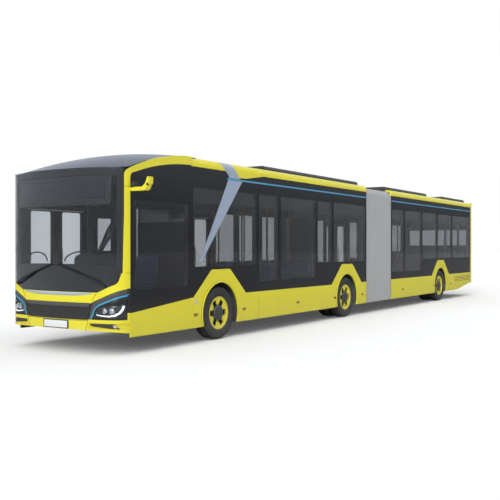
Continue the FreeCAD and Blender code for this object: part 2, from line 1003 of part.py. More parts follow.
def pin_holes(label, door_y):
    """Sockets over and under a doorway for the pins of its two leaves."""
    axis_x = size.leaf_thickness / 2 - half_width
    reach = size.leaf_pin_length + size.pin_clearance
    radius = size.leaf_pin_radius + size.pin_clearance
    return fused(
        label,
        *(
            rod(
                f"{label}_{end}", "z", radius, size.floor_height - reach,
                doorway_top + reach, axis_x, door_y + hinge_offset(side),
            )
            for end, side in (("front", -1), ("rear", 1))
        ),
    )


def hinge_offset(side):
    """Place of a leaf's hinge pin along the doorway, from its middle."""
    return (door_half - size.leaf_gap - size.leaf_thickness / 2) * side


front_left_wall = cut(
    "front_left_wall",
    extruded("front_left_band", "x", wall_inner, half_width, front_wall_outline()),
    panels(
        "front_left_openings", "x", wall_inner - overrun, half_width + overrun, front_left_windows
    ),
)
front_right_wall = cut(
    "front_right_wall",
    extruded("front_right_band", "x", -half_width, -wall_inner, front_wall_outline()),
    panels(
        "front_right_openings", "x", -half_width - overrun, overrun - wall_inner,
        front_right_windows,
    ),
    doorway("doorway_1", door_1_y, size.floor_height),
    doorway("doorway_2", door_2_y, size.floor_height),
    pin_holes("pin_holes_1", door_1_y),
    pin_holes("pin_holes_2", door_2_y),
)
keep(group("front_side_walls", front_left_wall, front_right_wall))
rear_left_wall = cut(
    "rear_left_wall",
    extruded("rear_left_band", "x", wall_inner, half_width, rear_wall_outline()),
    panels(
        "rear_left_openings", "x", wall_inner - overrun, half_width + overrun, rear_left_windows
    ),
)
rear_right_wall = cut(
    "rear_right_wall",
    extruded("rear_right_band", "x", -half_width, -wall_inner, rear_wall_outline()),
    panels(
        "rear_right_openings", "x", -half_width - overrun, overrun - wall_inner,
        rear_right_windows,
    ),
    doorway("doorway_3", door_3_y, size.floor_height),
    pin_holes("pin_holes_3", door_3_y),
)
keep(group("rear_side_walls", rear_left_wall, rear_right_wall))

# Panes fill their openings, flush with the outside.
pane_inner = half_width - size.pane_thickness
keep(
    group(
        "front_panes",
        panels("front_left_panes", "x", pane_inner, half_width, front_left_windows),
        panels("front_right_panes", "x", -half_width, -pane_inner, front_right_windows),
    )
)


# Skirt panels with small seams between them, and the wheel-arch surrounds.
half_seam = size.seam_gap / 2


def skirt_panel(start, end, bottom, top):
    return rectangle(start + half_seam, end - half_seam, bottom, top)


def arch_panel(axle):
    """A skirt panel that carries a wheel-arch surround."""
    half = size.arch_foot_half
    return (
        [corner(axle - half, size.skirt_bottom), corner(axle + half, size.skirt_bottom)]
        + arch_trapezoid(axle)[::-1]
    )


def skirt_run(start, end, count):
    """Even skirt panels between two places."""
    pitch = (end - start) / count
    return [
        skirt_panel(start + pitch * i, start + pitch * (i + 1), size.skirt_bottom, size.belt_height)
        for i in range(count)
    ]


first_skirt_panel = [
    corner(mask_end + half_seam, size.skirt_bottom),
    corner(front_axle_y - size.arch_foot_half - half_seam, size.skirt_bottom),
    corner(front_axle_y - size.arch_foot_half - half_seam, size.belt_height - half_seam),
    corner(mask_end + half_seam, size.belt_front_height - half_seam),
]
front_skirt_panels = (
    [first_skirt_panel, arch_panel(front_axle_y)]
    + skirt_run(front_axle_y + size.arch_foot_half, middle_axle_y - size.arch_foot_half, 3)
    + [arch_panel(middle_axle_y)]
    + skirt_run(middle_axle_y + size.arch_foot_half, front_car_end, 1)
)
rear_skirt_panels = (
    skirt_run(rear_car_start, rear_axle_y - size.arch_foot_half, 3)
    + [arch_panel(rear_axle_y)]
    + skirt_run(rear_axle_y + size.arch_foot_half, rear_mask_start, 2)
)


def arch_opening(label, axle):
    """The round wheel opening through both sides, flared at the outside."""
    radius = size.arch_opening_radius
    flare = radius + size.arch_lip_width
    lip = half_width - size.arch_lip_depth
    return fused(
        label,
        rod(f"{label}_bore", "x", radius, -half_width - overrun, half_width + overrun,
            axle, axle_height),
        cone(f"{label}_left_lip", "x", radius, flare, lip, half_width, axle, axle_height),
        cone(f"{label}_right_lip", "x", flare, radius, -half_width, -lip, axle, axle_height),
    )


def skirts(label, outlines, axles, doors):
    left = panels(f"{label}_left", "x", skirt_inner, half_width, outlines)
    right = panels(f"{label}_right", "x", -half_width, -skirt_inner, outlines)
    tools = [arch_opening(f"{label}_arch_{i}", axle) for i, axle in enumerate(axles, start=1)]
    tools += [
        doorway(f"{label}_door_{i}", door_y, size.floor_height - size.sill_depth)
        for i, door_y in enumerate(doors, start=1)
    ]
    return keep(cut(label, group(f"{label}_sides", left, right), *tools))


skirts(
    "front_skirts", front_skirt_panels, (front_axle_y, middle_axle_y), (door_1_y, door_2_y)
)
tail_rise = extruded(
    "tail_rise", "x", -half_width - overrun, half_width + overrun,
    [
        corner(rear_axle_y + size.tail_rise_setback, size.skirt_bottom - overrun),
        corner(rear_face + overrun, size.skirt_bottom - overrun),
        corner(rear_face + overrun, size.rear_mask_bottom),
        corner(rear_mask_start, size.rear_mask_bottom),
        corner(rear_axle_y + size.tail_rise_setback, size.skirt_bottom),
    ],
)
LOUVRE_COUNT = 4


def louvre(number, side):
    """One long cooling slot in the skirt behind the rear wheels."""
    near, far = half_width - size.louvre_depth, half_width + overrun
    if side < 0:
        near, far = -far, -near
    bottom = size.louvre_bottom + size.louvre_pitch * number
    return box(
        f"louvre_{number}_{side}", near, far,
        rear_axle_y + size.arch_foot_half + size.louvre_setback, rear_mask_start - size.louvre_inset,
        bottom, bottom + size.louvre_height,
    )


louvres = [louvre(number, side) for number in range(LOUVRE_COUNT) for side in (1, -1)]
rear_skirts_full = skirts("rear_skirts_full", rear_skirt_panels, (rear_axle_y,), (door_3_y,))
nodes.remove(rear_skirts_full)
keep(cut("rear_skirts", rear_skirts_full, tail_rise, *louvres))


# Rear mask: the back wall with rounded corners and the rear window.
def tail_plan(inset):
    half = half_width - inset
    end = rear_face - inset
    tight = size.rear_corner_radius - inset
    return [
        corner(-half, rear_mask_start),
        corner(half, rear_mask_start),
        corner(half, end, tight),
        corner(-half, end, tight),
    ]


tail_block = extruded(
    "tail_block", "z", size.rear_mask_bottom, roof_side_top, tail_plan(ZERO)
)
tail_hollow = extruded(
    "tail_hollow", "z", size.rear_mask_bottom - overrun, size.ceiling_height,
    [
        corner(v["across"], v["up"] - overrun if v["radius"] is None else v["up"], v["radius"])
        for v in tail_plan(size.wall_thickness)
    ],
)
rear_window_half = half_width - size.rear_window_inset
rear_window_outline = rectangle(
    -rear_window_half, rear_window_half, size.rear_window_bottom, size.rear_window_top,
    size.window_radius,
)
rear_window_hole = extruded(
    "rear_window_hole", "y", rear_mask_start, rear_face + overrun, rear_window_outline
)


def tail_lamp_outline(side):
    inner = half_width - size.tail_lamp_inset - size.tail_lamp_width
    outer = half_width - size.tail_lamp_inset
    outline = rectangle(inner, outer, size.tail_lamp_bottom, size.tail_lamp_top, size.window_radius)
    if side > 0:
        return outline
    return [corner(-v["across"], v["up"], v["radius"]) for v in outline][::-1]


lamp_back = rear_face - size.wall_thickness
tail_lamp_blocks = panels(
    "tail_lamp_blocks", "y", lamp_back, rear_face + overrun,
    [tail_lamp_outline(1), tail_lamp_outline(-1)],
)


# Socket in the rear bumper for a towing eye.
def tow_rod(label, radius, depth, reach):
    return rod(
        label, "y", radius, rear_face - depth, rear_face + reach, -size.tow_socket_place,
        size.tow_socket_height,
    )


tail_shell = cut("tail_shell", tail_block, tail_hollow, rear_window_hole, tail_lamp_blocks)
boss_depth = size.tow_socket_depth + size.box_wall
tow_boss = tow_rod("tow_boss", size.tow_boss_radius, boss_depth, -size.box_wall)
tow_bore = tow_rod("tow_bore", size.tow_socket_radius, size.tow_socket_depth, overrun)
keep(cut("rear_mask", fused("tail_shell_with_boss", tail_shell, tow_boss), tow_bore))
keep(common("tail_lamps", tail_lamp_blocks, tail_block))
keep(
    group(
        "rear_panes",
        panels("rear_left_panes", "x", pane_inner, half_width, rear_left_windows),
        panels("rear_right_panes", "x", -half_width, -pane_inner, rear_right_windows),
        extruded("rear_window", "y", rear_face - size.pane_thickness, rear_face, rear_window_outline),
    )
)


# Floors: a slab open over the wheels, with a sill in each doorway and pads for jacks underneath.
def wells(label, axles, wall, below, reach):
    """The block of space over each wheel, grown by a wall, down to below and out to reach."""
    roof = axle_height + size.tyre_radius + size.box_roof_gap + wall
    blocks = []
    for i, (axle, inner, half) in enumerate(axles, start=1):
        for name, x_low, x_high in (("left", inner - wall, reach), ("right", -reach, wall - inner)):
            blocks.append(
                box(
                    f"{label}_{name}_{i}", x_low, x_high, axle - half - wall, axle + half + wall,
                    below, roof,
                )
            )
    return blocks


def floor(label, slab, axles, doors, jacks):
    sills = [
        box(
            f"{label}_sill_{i}", -half_width, -skirt_inner, door_y - door_half,
            door_y + door_half, size.floor_height - size.sill_depth, size.floor_height,
        )
        for i, door_y in enumerate(doors, start=1)
    ]
    pads = [
        rod(
            f"{label}_pad_{side}_{i}", "z", size.jack_pad_radius,
            size.floor_bottom - size.jack_pad_depth, size.floor_bottom,
            (half_width - size.jack_inset) * side, y,
        )
        for i, y in enumerate(jacks, start=1)
        for side in (1, -1)
    ]
    sockets = [pin_holes(f"{label}_sockets_{i}", door_y) for i, door_y in enumerate(doors, start=1)]
    openings = wells(f"{label}_well", axles, size.box_wall, ZERO, half_width + overrun)
    solid = fused(f"{label}_solid", slab, *sills, *pads)
    return keep(cut(label, solid, *openings, *sockets))


def wheel_boxes(label, axles):
    """Open-bottomed boxes over the wheels of one car."""
    shells = [
        cut(f"{label}_{i}", outer, inner)
        for i, (outer, inner) in enumerate(
            zip(
                wells(f"{label}_outer", axles, size.box_wall, size.floor_bottom, wall_inner),
                wells(f"{label}_inner", axles, ZERO, ZERO, half_width + overrun),
            ),
            start=1,
        )
    ]
    return keep(group(label, *shells))


steer_reach = size.steer_box_half + size.box_wall
drive_reach = size.drive_box_half + size.box_wall
steer_box_inner = tyre_face - size.steer_box_depth
drive_box_inner = tyre_face - size.drive_box_depth
steer_box = (front_axle_y, steer_box_inner, size.steer_box_half)
middle_box = (middle_axle_y, drive_box_inner, size.drive_box_half)
rear_box = (rear_axle_y, drive_box_inner, size.drive_box_half)
front_slab = fused(
    "front_slab",
    box(
        "front_deck", -skirt_inner, skirt_inner, mask_end, front_car_end, size.floor_bottom,
        size.floor_height,
    ),
    box(
        "front_bulkhead", -wall_inner, wall_inner, mask_end, mask_end + size.box_wall,
        size.floor_bottom, size.windscreen_bottom - size.box_wall,
    ),
)
floor(
    "front_floor", front_slab, (steer_box, middle_box), (door_1_y, door_2_y),
    (front_axle_y + steer_reach + size.jack_setback, middle_axle_y - drive_reach - size.jack_setback),
)
wheel_boxes("front_wheel_boxes", (steer_box, middle_box))
slab_thickness = size.floor_height - size.floor_bottom
tail_floor_start = rear_axle_y + drive_reach
tail_deck = box(
    "tail_deck", -skirt_inner, skirt_inner, tail_floor_start - size.box_wall, rear_mask_start,
    size.tail_floor_height - slab_thickness, size.tail_floor_height,
)
tail_riser = box(
    "tail_riser", -skirt_inner, skirt_inner, tail_floor_start - size.box_wall, tail_floor_start,
    size.floor_bottom, size.tail_floor_height,
)
rear_slab = fused(
    "rear_slab",
    box(
        "rear_deck", -skirt_inner, skirt_inner, rear_car_start, tail_floor_start,
        size.floor_bottom, size.floor_height,
    ),
    tail_riser,
    tail_deck,
)
floor(
    "rear_floor", rear_slab, (rear_box,), (door_3_y,),
    (rear_axle_y - drive_reach - size.jack_setback,),
)
wheel_boxes("rear_wheel_boxes", (rear_box,))


# Door leaves: a frame with a tall glass opening, and a pin at the top and bottom of its hinge edge.
def door_leaf(label, door_y, side):
    """One leaf, hinged at the side of its doorway that side gives."""
    outer = door_half - size.leaf_gap
    inner = size.leaf_gap / 2
    near, far = (inner, outer) if side > 0 else (-outer, -inner)
    axis_x = size.leaf_thickness / 2 - half_width
    bottom = size.floor_height + size.leaf_gap
    top = doorway_top - size.leaf_gap
    half_leaf = size.leaf_thickness / 2
    hinge = door_y + hinge_offset(side)
    plate_near, plate_far = (near, far - half_leaf) if side > 0 else (near + half_leaf, far)
    plate = box(
        f"{label}_plate", -half_width, size.leaf_thickness - half_width, door_y + plate_near,
        door_y + plate_far, bottom, top,
    )
    edge = rod(f"{label}_edge", "z", half_leaf, bottom, top, axis_x, hinge)
    pin = rod(
        f"{label}_pin", "z", size.leaf_pin_radius, size.floor_height - size.leaf_pin_length,
        doorway_top + size.leaf_pin_length, axis_x, hinge,
    )
    middle, hinged = size.leaf_middle_frame, size.leaf_frame
    first, last = (middle, hinged) if side > 0 else (hinged, middle)
    glass_outline = rectangle(
        door_y + near + first, door_y + far - last, size.leaf_glass_bottom, top - size.leaf_head,
        size.window_radius,
    )
    opening = extruded(
        f"{label}_opening", "x", -half_width - overrun, -skirt_inner + overrun, glass_outline
    )
    half_pane = size.pane_thickness / 2
    pane = extruded(f"{label}_glass", "x", axis_x - half_pane, axis_x + half_pane, glass_outline)
    frame = cut(f"{label}_frame", fused(f"{label}_solid", plate, edge, pin), opening)
    return keep(fused(label, frame, pane))


for number, door_y in ((1, door_1_y), (2, door_2_y), (3, door_3_y)):
    door_leaf(f"door_{number}_front_leaf", door_y, -1)
    door_leaf(f"door_{number}_rear_leaf", door_y, 1)


# Tyres and rims turn about each wheel's own axle line.
FULL_TURN = 360


def turned(label, axle, outline):
    """A ring or disc turned about an axle, from an outline of (x, radius)."""
    body = doc.addObject("PartDesign::Body", label)
    sketch = sketched(body, "y", axle, [outline])
    sketch.setExpression("AttachmentOffset.Base.y", axle_height.text)
    turn = body.newObject("PartDesign::Revolution", f"{label}_turn")
    turn.Profile = sketch
    turn.ReferenceAxis = (sketch, ["H_Axis"])
    turn.Angle = FULL_TURN
    return body


def tyre(label, axle, face):
    """A tyre whose outer face stands at x = face."""
    inner = face - size.tyre_width
    tread = size.tyre_radius
    side = tread - size.tyre_shoulder
    edge = size.tyre_shoulder / 2
    return turned(
        label, axle,
        [
            corner(inner + edge, size.rim_radius),
            corner(face - edge, size.rim_radius),
            corner(face, side),
            corner(face - edge, tread - size.tyre_crown_drop),
            corner(face - size.tyre_width / 2, tread),
            corner(inner + edge, tread - size.tyre_crown_drop),
            corner(inner, side),
        ],
    )


def rim(label, axle, face, hub_start):
    """A rim with its disc near the outer face and a hub reaching in to hub_start."""
    edge = size.tyre_shoulder / 2
    start = face - size.tyre_width + edge
    end = face - edge
    disc = end - size.rim_disc_inset
    well = size.rim_bead_radius - size.rim_wall
    bore = size.stub_radius + size.stub_clearance
    cap_end = face - edge
    return turned(
        label, axle,
        [
            corner(start, size.rim_bead_radius - size.rim_wall),
            corner(disc - size.rim_disc_thickness, well),
            corner(disc - size.rim_disc_thickness, size.hub_radius),
            corner(hub_start, size.hub_radius),
            corner(hub_start, bore),
            corner(cap_end - size.rim_disc_thickness, bore),
            corner(cap_end - size.rim_disc_thickness, ZERO),
            corner(cap_end, ZERO),
            corner(cap_end, size.hub_cap_radius - size.rim_disc_thickness),
            corner(disc, size.hub_cap_radius),
            corner(disc, well),
            corner(end, well),
            corner(end, size.rim_radius),
            corner(start, size.rim_radius),
        ],
    )


SLOT_COUNT = 6


def slotted(label, solid, axle, face):
    """A rim with round slots through its disc, evenly round the axle."""
    disc = face - size.tyre_shoulder / 2 - size.rim_disc_inset
    step = math.tau / SLOT_COUNT
    slots = []
    for i in range(SLOT_COUNT):
        turn = step / 2 + step * i
        slots.append(
            rod(
                f"{label}_slot_{i}", "x", size.slot_radius,
                disc - size.rim_disc_thickness - size.rim_wall, disc + size.rim_wall,
                axle + size.slot_place * math.sin(turn), axle_height + size.slot_place * math.cos(turn),
            )
        )
    return cut(label, solid, *slots)


hub_start = tyre_face - size.tyre_shoulder / 2 - size.rim_disc_inset - size.hub_length
steer_rim_solid = rim("steer_rim_solid", front_axle_y, tyre_face, hub_start)
steer_rim = slotted("steer_rim", steer_rim_solid, front_axle_y, tyre_face)
steer_tyre = tyre("steer_tyre", front_axle_y, tyre_face)
keep(moved("front_left_rim", steer_rim, ZERO))
keep(moved("front_left_tyre", steer_tyre, ZERO))
keep(mirrored("front_right_rim", steer_rim))
keep(mirrored("front_right_tyre", steer_tyre))
twin_face = tyre_face - size.tyre_width - size.twin_gap
portal_face = portal_case_outer + size.turntable_gap
twin_edge = twin_face - size.tyre_width + size.tyre_shoulder / 2
twin_rims = fused(
    "twin_rims_solid",
    slotted(
        "outer_twin_rim", rim("outer_twin_rim_solid", middle_axle_y, tyre_face, portal_face),
        middle_axle_y, tyre_face,
    ),
    turned(
        "inner_twin_rim", middle_axle_y,
        [
            corner(twin_edge, size.rim_bead_radius - size.rim_wall),
            corner(twin_face, size.rim_bead_radius - size.rim_wall),
            corner(twin_face, size.hub_radius - size.rim_wall),
            corner(twin_face + size.rim_disc_thickness, size.hub_radius - size.rim_wall),
            corner(twin_face + size.rim_disc_thickness, size.rim_radius - size.rim_wall),
            corner(twin_face - size.tyre_shoulder / 2, size.rim_radius),
            corner(twin_edge, size.rim_radius),
        ],
    ),
)
twin_tyres = group(
    "twin_tyres",
    tyre("outer_twin_tyre", middle_axle_y, tyre_face),
    tyre("inner_twin_tyre", middle_axle_y, twin_face),
)
for car, distance in (("middle", ZERO), ("rear", size.rear_wheelbase)):
    keep(moved(f"{car}_left_rims", twin_rims, distance))
    keep(moved(f"{car}_left_tyres", twin_tyres, distance))
    keep(moved(f"{car}_right_rims", mirrored(f"{car}_rims_mirrored", twin_rims), distance))
    keep(moved(f"{car}_right_tyres", mirrored(f"{car}_tyres_mirrored", twin_tyres), distance))


# Front axle: a dropped beam with an eye at each end for the kingpin.
pin_x = kingpin_half
eye_half = size.eye_height / 2
neck_half = size.beam_neck_height / 2
NECK_SETBACK_SHARE = 1 / 3


def beam_outline():
    low = size.beam_bottom
    top = low + size.beam_height
    level = pin_x - size.beam_level_inset
    neck = pin_x - size.beam_neck_inset
    setback = (neck - level) * NECK_SETBACK_SHARE
    right = [
        corner(level, low),
        corner(neck, axle_height - neck_half),
        corner(pin_x, axle_height - neck_half),
        corner(pin_x, axle_height + neck_half),
        corner(neck - setback, axle_height + neck_half),
        corner(level - setback, top),
    ]
    left = [corner(-v["across"], v["up"]) for v in right]
    return right + left[::-1]


def eye(label, radius, half, side):
    return rod(
        label, "z", radius, axle_height - half, axle_height + half, pin_x * side, front_axle_y
    )


def spring_seats(axle, bottom):
    """Seats between an axle and the underside of the floor."""
    return [
        rod(
            f"spring_seat_{side}", "z", size.spring_seat_radius, bottom,
            size.floor_bottom, size.spring_seat_half * side, axle,
        )
        for side in (1, -1)
    ]


beam = extruded(
    "beam", "y", front_axle_y - size.beam_half_depth, front_axle_y + size.beam_half_depth,
    beam_outline(),
)
kingpin_bore = size.kingpin_radius + size.kingpin_clearance
keep(
    cut(
        "front_axle",
        fused(
            "beam_with_eyes", beam, eye("left_eye", size.eye_radius, eye_half, 1),
            eye("right_eye", size.eye_radius, eye_half, -1),
            *spring_seats(front_axle_y, size.beam_bottom + size.beam_height / 2),
        ),
        eye("left_eye_bore", kingpin_bore, eye_half + overrun, 1),
        eye("right_eye_bore", kingpin_bore, eye_half + overrun, -1),
    )
)

# Steering knuckle: kingpin, a lug over and under the beam's eye, the yoke that joins them, the
# stub axle and the steering arm.
yoke_inner = pin_x + size.eye_radius + size.yoke_gap
yoke_outer = yoke_inner + size.yoke_thickness
stub_end = tyre_face - size.tyre_shoulder / 2 - size.rim_disc_thickness
lug_low = eye_half + size.kingpin_clearance
lug_high = lug_low + size.lug_height


def lug(label, low, high):
    boss = rod(
        f"{label}_boss", "z", size.eye_radius, axle_height + low, axle_height + high, pin_x,
        front_axle_y,
    )
    web = box(
        f"{label}_web", pin_x, yoke_outer, front_axle_y - size.eye_radius,
        front_axle_y + size.eye_radius, axle_height + low, axle_height + high,
    )
    return fused(label, boss, web)


arm_top = axle_height - lug_low
arm_bottom = axle_height - lug_high
tie_y = front_axle_y + size.arm_length
tie_top = arm_bottom - size.kingpin_clearance
tie_middle = tie_top - size.tie_eye_height / 2
tie_bottom = tie_top - size.tie_eye_height
steering_arm = fused(
    "steering_arm",
    box(
        "arm_bar", pin_x - size.arm_half_width, pin_x + size.arm_half_width, front_axle_y, tie_y,
        arm_bottom, arm_top,
    ),
    rod("arm_eye", "z", size.arm_half_width, arm_bottom, arm_top, pin_x, tie_y),
    rod("arm_pin", "z", size.tie_pin_radius, tie_bottom, arm_top, pin_x, tie_y),
)
knuckle = fused(
    "knuckle",
    eye("kingpin", size.kingpin_radius, lug_high, 1),
    lug("upper_lug", lug_low, lug_high),
    lug("lower_lug", -lug_high, -lug_low),
    box(
        "yoke", yoke_inner, yoke_outer, front_axle_y - size.eye_radius,
        front_axle_y + size.eye_radius, axle_height - lug_high, axle_height + lug_high,
    ),
    rod(
        "stub", "x", size.stub_radius, yoke_inner, stub_end - size.stub_clearance, front_axle_y,
        axle_height,
    ),
    steering_arm,
)
keep(moved("steering_knuckle_left", knuckle, ZERO))
keep(mirrored("steering_knuckle_right", knuckle))


# Tie rod: a bar below the floor that rises at each end to an eye round the arm's pin.
def tie_rod_outline():
    half = size.tie_rod_radius
    drop_start = pin_x - size.tie_drop_start
    drop_end = pin_x - size.tie_drop_end
    right = [
        corner(drop_end + half, size.tie_rod_height - half),
        corner(drop_start + half, tie_middle - half),
        corner(pin_x, tie_middle - half),
        corner(pin_x, tie_middle + half),
        corner(drop_start, tie_middle + half),
        corner(drop_end, size.tie_rod_height + half),
    ]
    left = [corner(-v["across"], v["up"]) for v in right]
    return right + left[::-1]


def tie_eye(label, radius, low, high, side):
    return rod(label, "z", radius, low, high, pin_x * side, tie_y)


tie_bore = size.tie_pin_radius + size.kingpin_clearance
keep(
    cut(
        "tie_rod",
        fused(
            "tie_bar_with_eyes",
            extruded(
                "tie_bar", "y", tie_y - size.tie_rod_radius, tie_y + size.tie_rod_radius,
                tie_rod_outline(),
            ),
            tie_eye("left_tie_eye", size.tie_eye_radius, tie_bottom, tie_top, 1),
            tie_eye("right_tie_eye", size.tie_eye_radius, tie_bottom, tie_top, -1),
        ),
        tie_eye("left_tie_bore", tie_bore, tie_bottom - overrun, tie_top + overrun, 1),
        tie_eye("right_tie_bore", tie_bore, tie_bottom - overrun, tie_top + overrun, -1),
    )
)


# Driven axles: a low cross tube, and a case at each end that lifts the drive to the wheels.
def portal_side(side):
    inner, outer = portal_case_inner, portal_case_outer
    near, far = (inner, outer) if side > 0 else (-outer, -inner)
    stub_near, stub_far = (outer, stub_end) if side > 0 else (-stub_end, -outer)
    case = extruded(
        f"portal_case_{side}", "x", near, far,
        rectangle(
            middle_axle_y - size.portal_case_half, middle_axle_y + size.portal_case_half,
            size.portal_tube_height - size.portal_tube_radius, size.portal_case_top,
            size.portal_case_half / 2,
        ),
    )
    stub = rod(
        f"portal_stub_{side}", "x", size.stub_radius, stub_near + size.stub_clearance * (side < 0),
        stub_far - size.stub_clearance * (side > 0), middle_axle_y, axle_height,
    )
    return [case, stub]


drive_axle = fused(
    "drive_axle",
    rod(
        "portal_tube", "x", size.portal_tube_radius, -portal_case_inner,
        portal_case_inner, middle_axle_y, size.portal_tube_height,
    ),
    *portal_side(1),
    *portal_side(-1),
    *spring_seats(middle_axle_y, size.portal_tube_height),
)
keep(moved("middle_axle", drive_axle, ZERO))
keep(moved("rear_axle", drive_axle, size.rear_wheelbase))


# Turntable: a lower half under the front car and an upper half on the rear car.
def turntable_half(label, low, high, start, end):
    ring = rod(f"{label}_ring", "z", size.ring_radius, low, high, ZERO, pivot_y)
    bar = box(f"{label}_bar", -size.drawbar_half, size.drawbar_half, start, end, low, high)
    hole = rod(
        f"{label}_hole", "z", size.ring_radius - size.ring_wall, low - overrun, high + overrun,
        ZERO, pivot_y,
    )
    return cut(f"{label}_half", fused(f"{label}_solid", ring, bar), hole)


lower_half = turntable_half(
    "lower", size.lower_bottom, size.floor_bottom, front_car_end - size.drawbar_overlap, pivot_y
)
keep(moved("lower_turntable", lower_half, ZERO))
upper_top = size.floor_height - size.plate_thickness
upper_half = turntable_half(
    "upper", size.floor_bottom + size.turntable_gap, upper_top, pivot_y, rear_car_start
)
plate = rod("turntable_plate", "z", size.plate_radius, upper_top, size.floor_height, ZERO, pivot_y)
keep(fused("upper_turntable", upper_half, plate))


# Bellows and the frames that it is clamped to.
def hoop(half, top, corner_radius, bottom=size.bellows_bottom):
    return [
        corner(-half, bottom),
        corner(half, bottom),
        corner(half, top, corner_radius),
        corner(-half, top, corner_radius),
    ]


def end_frame(label, start, end):
    outer = extruded(
        f"{label}_outer", "y", start, end,
        hoop(bellows_half, bellows_top, size.bellows_corner_radius),
    )
    gangway = extruded(
        f"{label}_gangway", "y", start - overrun, end + overrun,
        hoop(
            half_width - size.gangway_inset, gangway_top, size.bellows_corner_radius / 2,
            size.bellows_bottom - overrun,
        ),
    )
    return keep(cut(label, outer, gangway))


bellows_start = front_car_end + size.end_frame_depth
bellows_end = rear_car_start - size.end_frame_depth
end_frame("front_end_frame", front_car_end, bellows_start)
end_frame("rear_end_frame", bellows_end, rear_car_start)
valley_half = bellows_half - size.pleat_depth
valley_top = bellows_top - size.pleat_depth
valley_corner = size.bellows_corner_radius - size.pleat_depth
pleats = int((bellows_end - bellows_start).value / size.pleat_pitch.value)
ridge = size.pleat_pitch / 2
pleat_first = (bellows_end - bellows_start - size.pleat_pitch * pleats) / 2
pleat_rings = [
    extruded(
        f"pleat_{i}", "y", bellows_start + pleat_first + size.pleat_pitch * i + ridge / 2,
        bellows_start + pleat_first + size.pleat_pitch * i + ridge / 2 + ridge,
        hoop(bellows_half, bellows_top, size.bellows_corner_radius),
    )
    for i in range(pleats)
]
sleeve = extruded("bellows_sleeve", "y", bellows_start, bellows_end,
                  hoop(valley_half, valley_top, valley_corner))
bellows_hollow = extruded(
    "bellows_hollow", "y", bellows_start - overrun, bellows_end + overrun,
    hoop(
        valley_half - size.bellows_wall, valley_top - size.bellows_wall,
        valley_corner - size.bellows_wall, size.bellows_bottom - overrun,
    ),
)
keep(cut("bellows", fused("bellows_solid", sleeve, *pleat_rings), bellows_hollow))


# Camera arms in place of mirrors, one on each side: a slim bar that turns up to a narrow tip. The
# shares place its elbow along the reach and the shoulder of its tip along the rise.
ELBOW_SHARE = 0.8
SHOULDER_SHARE = 0.55


def camera_arm(label, start):
    near = half_width
    far = near + size.camera_arm_reach
    low = windscreen_top - size.camera_arm_drop
    high = low + size.camera_arm_rise
    elbow = near + size.camera_arm_reach * ELBOW_SHARE
    shoulder = low + size.camera_arm_rise * SHOULDER_SHARE
    upper = low + size.camera_arm_root
    inner_radius = size.camera_arm_radius - size.camera_arm_tip / 2
    return extruded(
        label, "y", start, start + size.camera_arm_depth,
        [
            corner(near, low),
            corner(elbow, low, size.camera_arm_radius),
            corner(far, shoulder, size.camera_arm_radius),
            corner(far, high),
            corner(far - size.camera_arm_tip, high),
            corner(far - size.camera_arm_width, shoulder, inner_radius),
            corner(elbow - size.camera_arm_root, upper, inner_radius),
            corner(near, upper),
        ],
    )


right_arm = camera_arm("right_camera_arm", mask_end + size.camera_arm_setback)
keep(
    group(
        "camera_arms",
        camera_arm("left_camera_arm", mask_end),
        mirrored("right_camera_arm_mirrored", right_arm),
    )
)


# Wipers: arms and blades that follow the windscreen a little way in front of it.
def bar_outline(first, second, width):
    """A straight bar seen from the front, from one (x, z) to another."""
    half = width / 2
    return [
        corner(first[0], first[1] - half),
        corner(second[0], second[1] - half),
        corner(second[0], second[1] + half),
        corner(first[0], first[1] + half),
    ]


wiper_shell = nose_shell(
    "wiper", -size.wiper_reach, size.wiper_thickness, size.windscreen_bottom - overrun,
    windscreen_top,
)
pivot = (half_width - size.wiper_pivot_inset, size.wiper_pivot_height)
blade_in = (size.blade_inner, size.blade_inner_height)
blade_out = (size.blade_outer, size.blade_outer_height)
blade_middle = ((blade_in[0] + blade_out[0]) / 2, (blade_in[1] + blade_out[1]) / 2)
wiper_bars = fused(
    "wiper_bars",
    extruded("wiper_blade", "y", nose_front, mask_end,
             bar_outline(blade_in, blade_out, size.blade_width)),
    extruded("wiper_arm", "y", nose_front, mask_end,
             bar_outline(blade_middle, pivot, size.wiper_arm_width)),
)
nose_solid = extruded(
    "nose_solid", "z", ZERO, windscreen_top, nose_plan(ZERO, nose_end)
)
wiper_zone = extruded(
    "wiper_zone", "z", ZERO, windscreen_top, nose_plan(-size.wiper_reach, nose_end)
)
wiper_pivot = cut(
    "wiper_pivot_boss",
    common(
        "wiper_pivot_round",
        rod("wiper_pivot_rod", "y", size.wiper_pivot_radius, nose_front, mask_end, *pivot),
        wiper_zone,
    ),
    nose_solid,
)
wiper = fused("wiper_left", common("wiper_bent", wiper_shell, wiper_bars), wiper_pivot)
keep(group("wipers", wiper, mirrored("wiper_right", wiper)))


# Units on the roof deck: battery packs, and taller air-conditioning housings with fans in their tops.
unit_half = half_width - size.unit_inset


def fans(label, start, end, top):
    """Round wells for two rows of fans along the top of a housing."""
    count = int((end - start).value / size.fan_pitch.value)
    first = (start + end - size.fan_pitch * (count - 1)) / 2
    return [
        rod(
            f"{label}_fan_{i}_{side}", "z", size.fan_radius, top - size.fan_depth, top + overrun,
            size.fan_place * side, first + size.fan_pitch * i,
        )
        for i in range(count)
        for side in (1, -1)
    ]


def roof_unit(label, start, end, tall):
    top = unit_top if tall else battery_top
    housing = extruded(
        f"{label}_housing", "y", start, end,
        [
            corner(-unit_half, deck_height),
            corner(unit_half, deck_height),
            corner(unit_half, top, size.unit_corner_radius),
            corner(-unit_half, top, size.unit_corner_radius),
        ],
    )
    if tall:
        return cut(label, housing, *fans(label, start, end, top))
    return housing


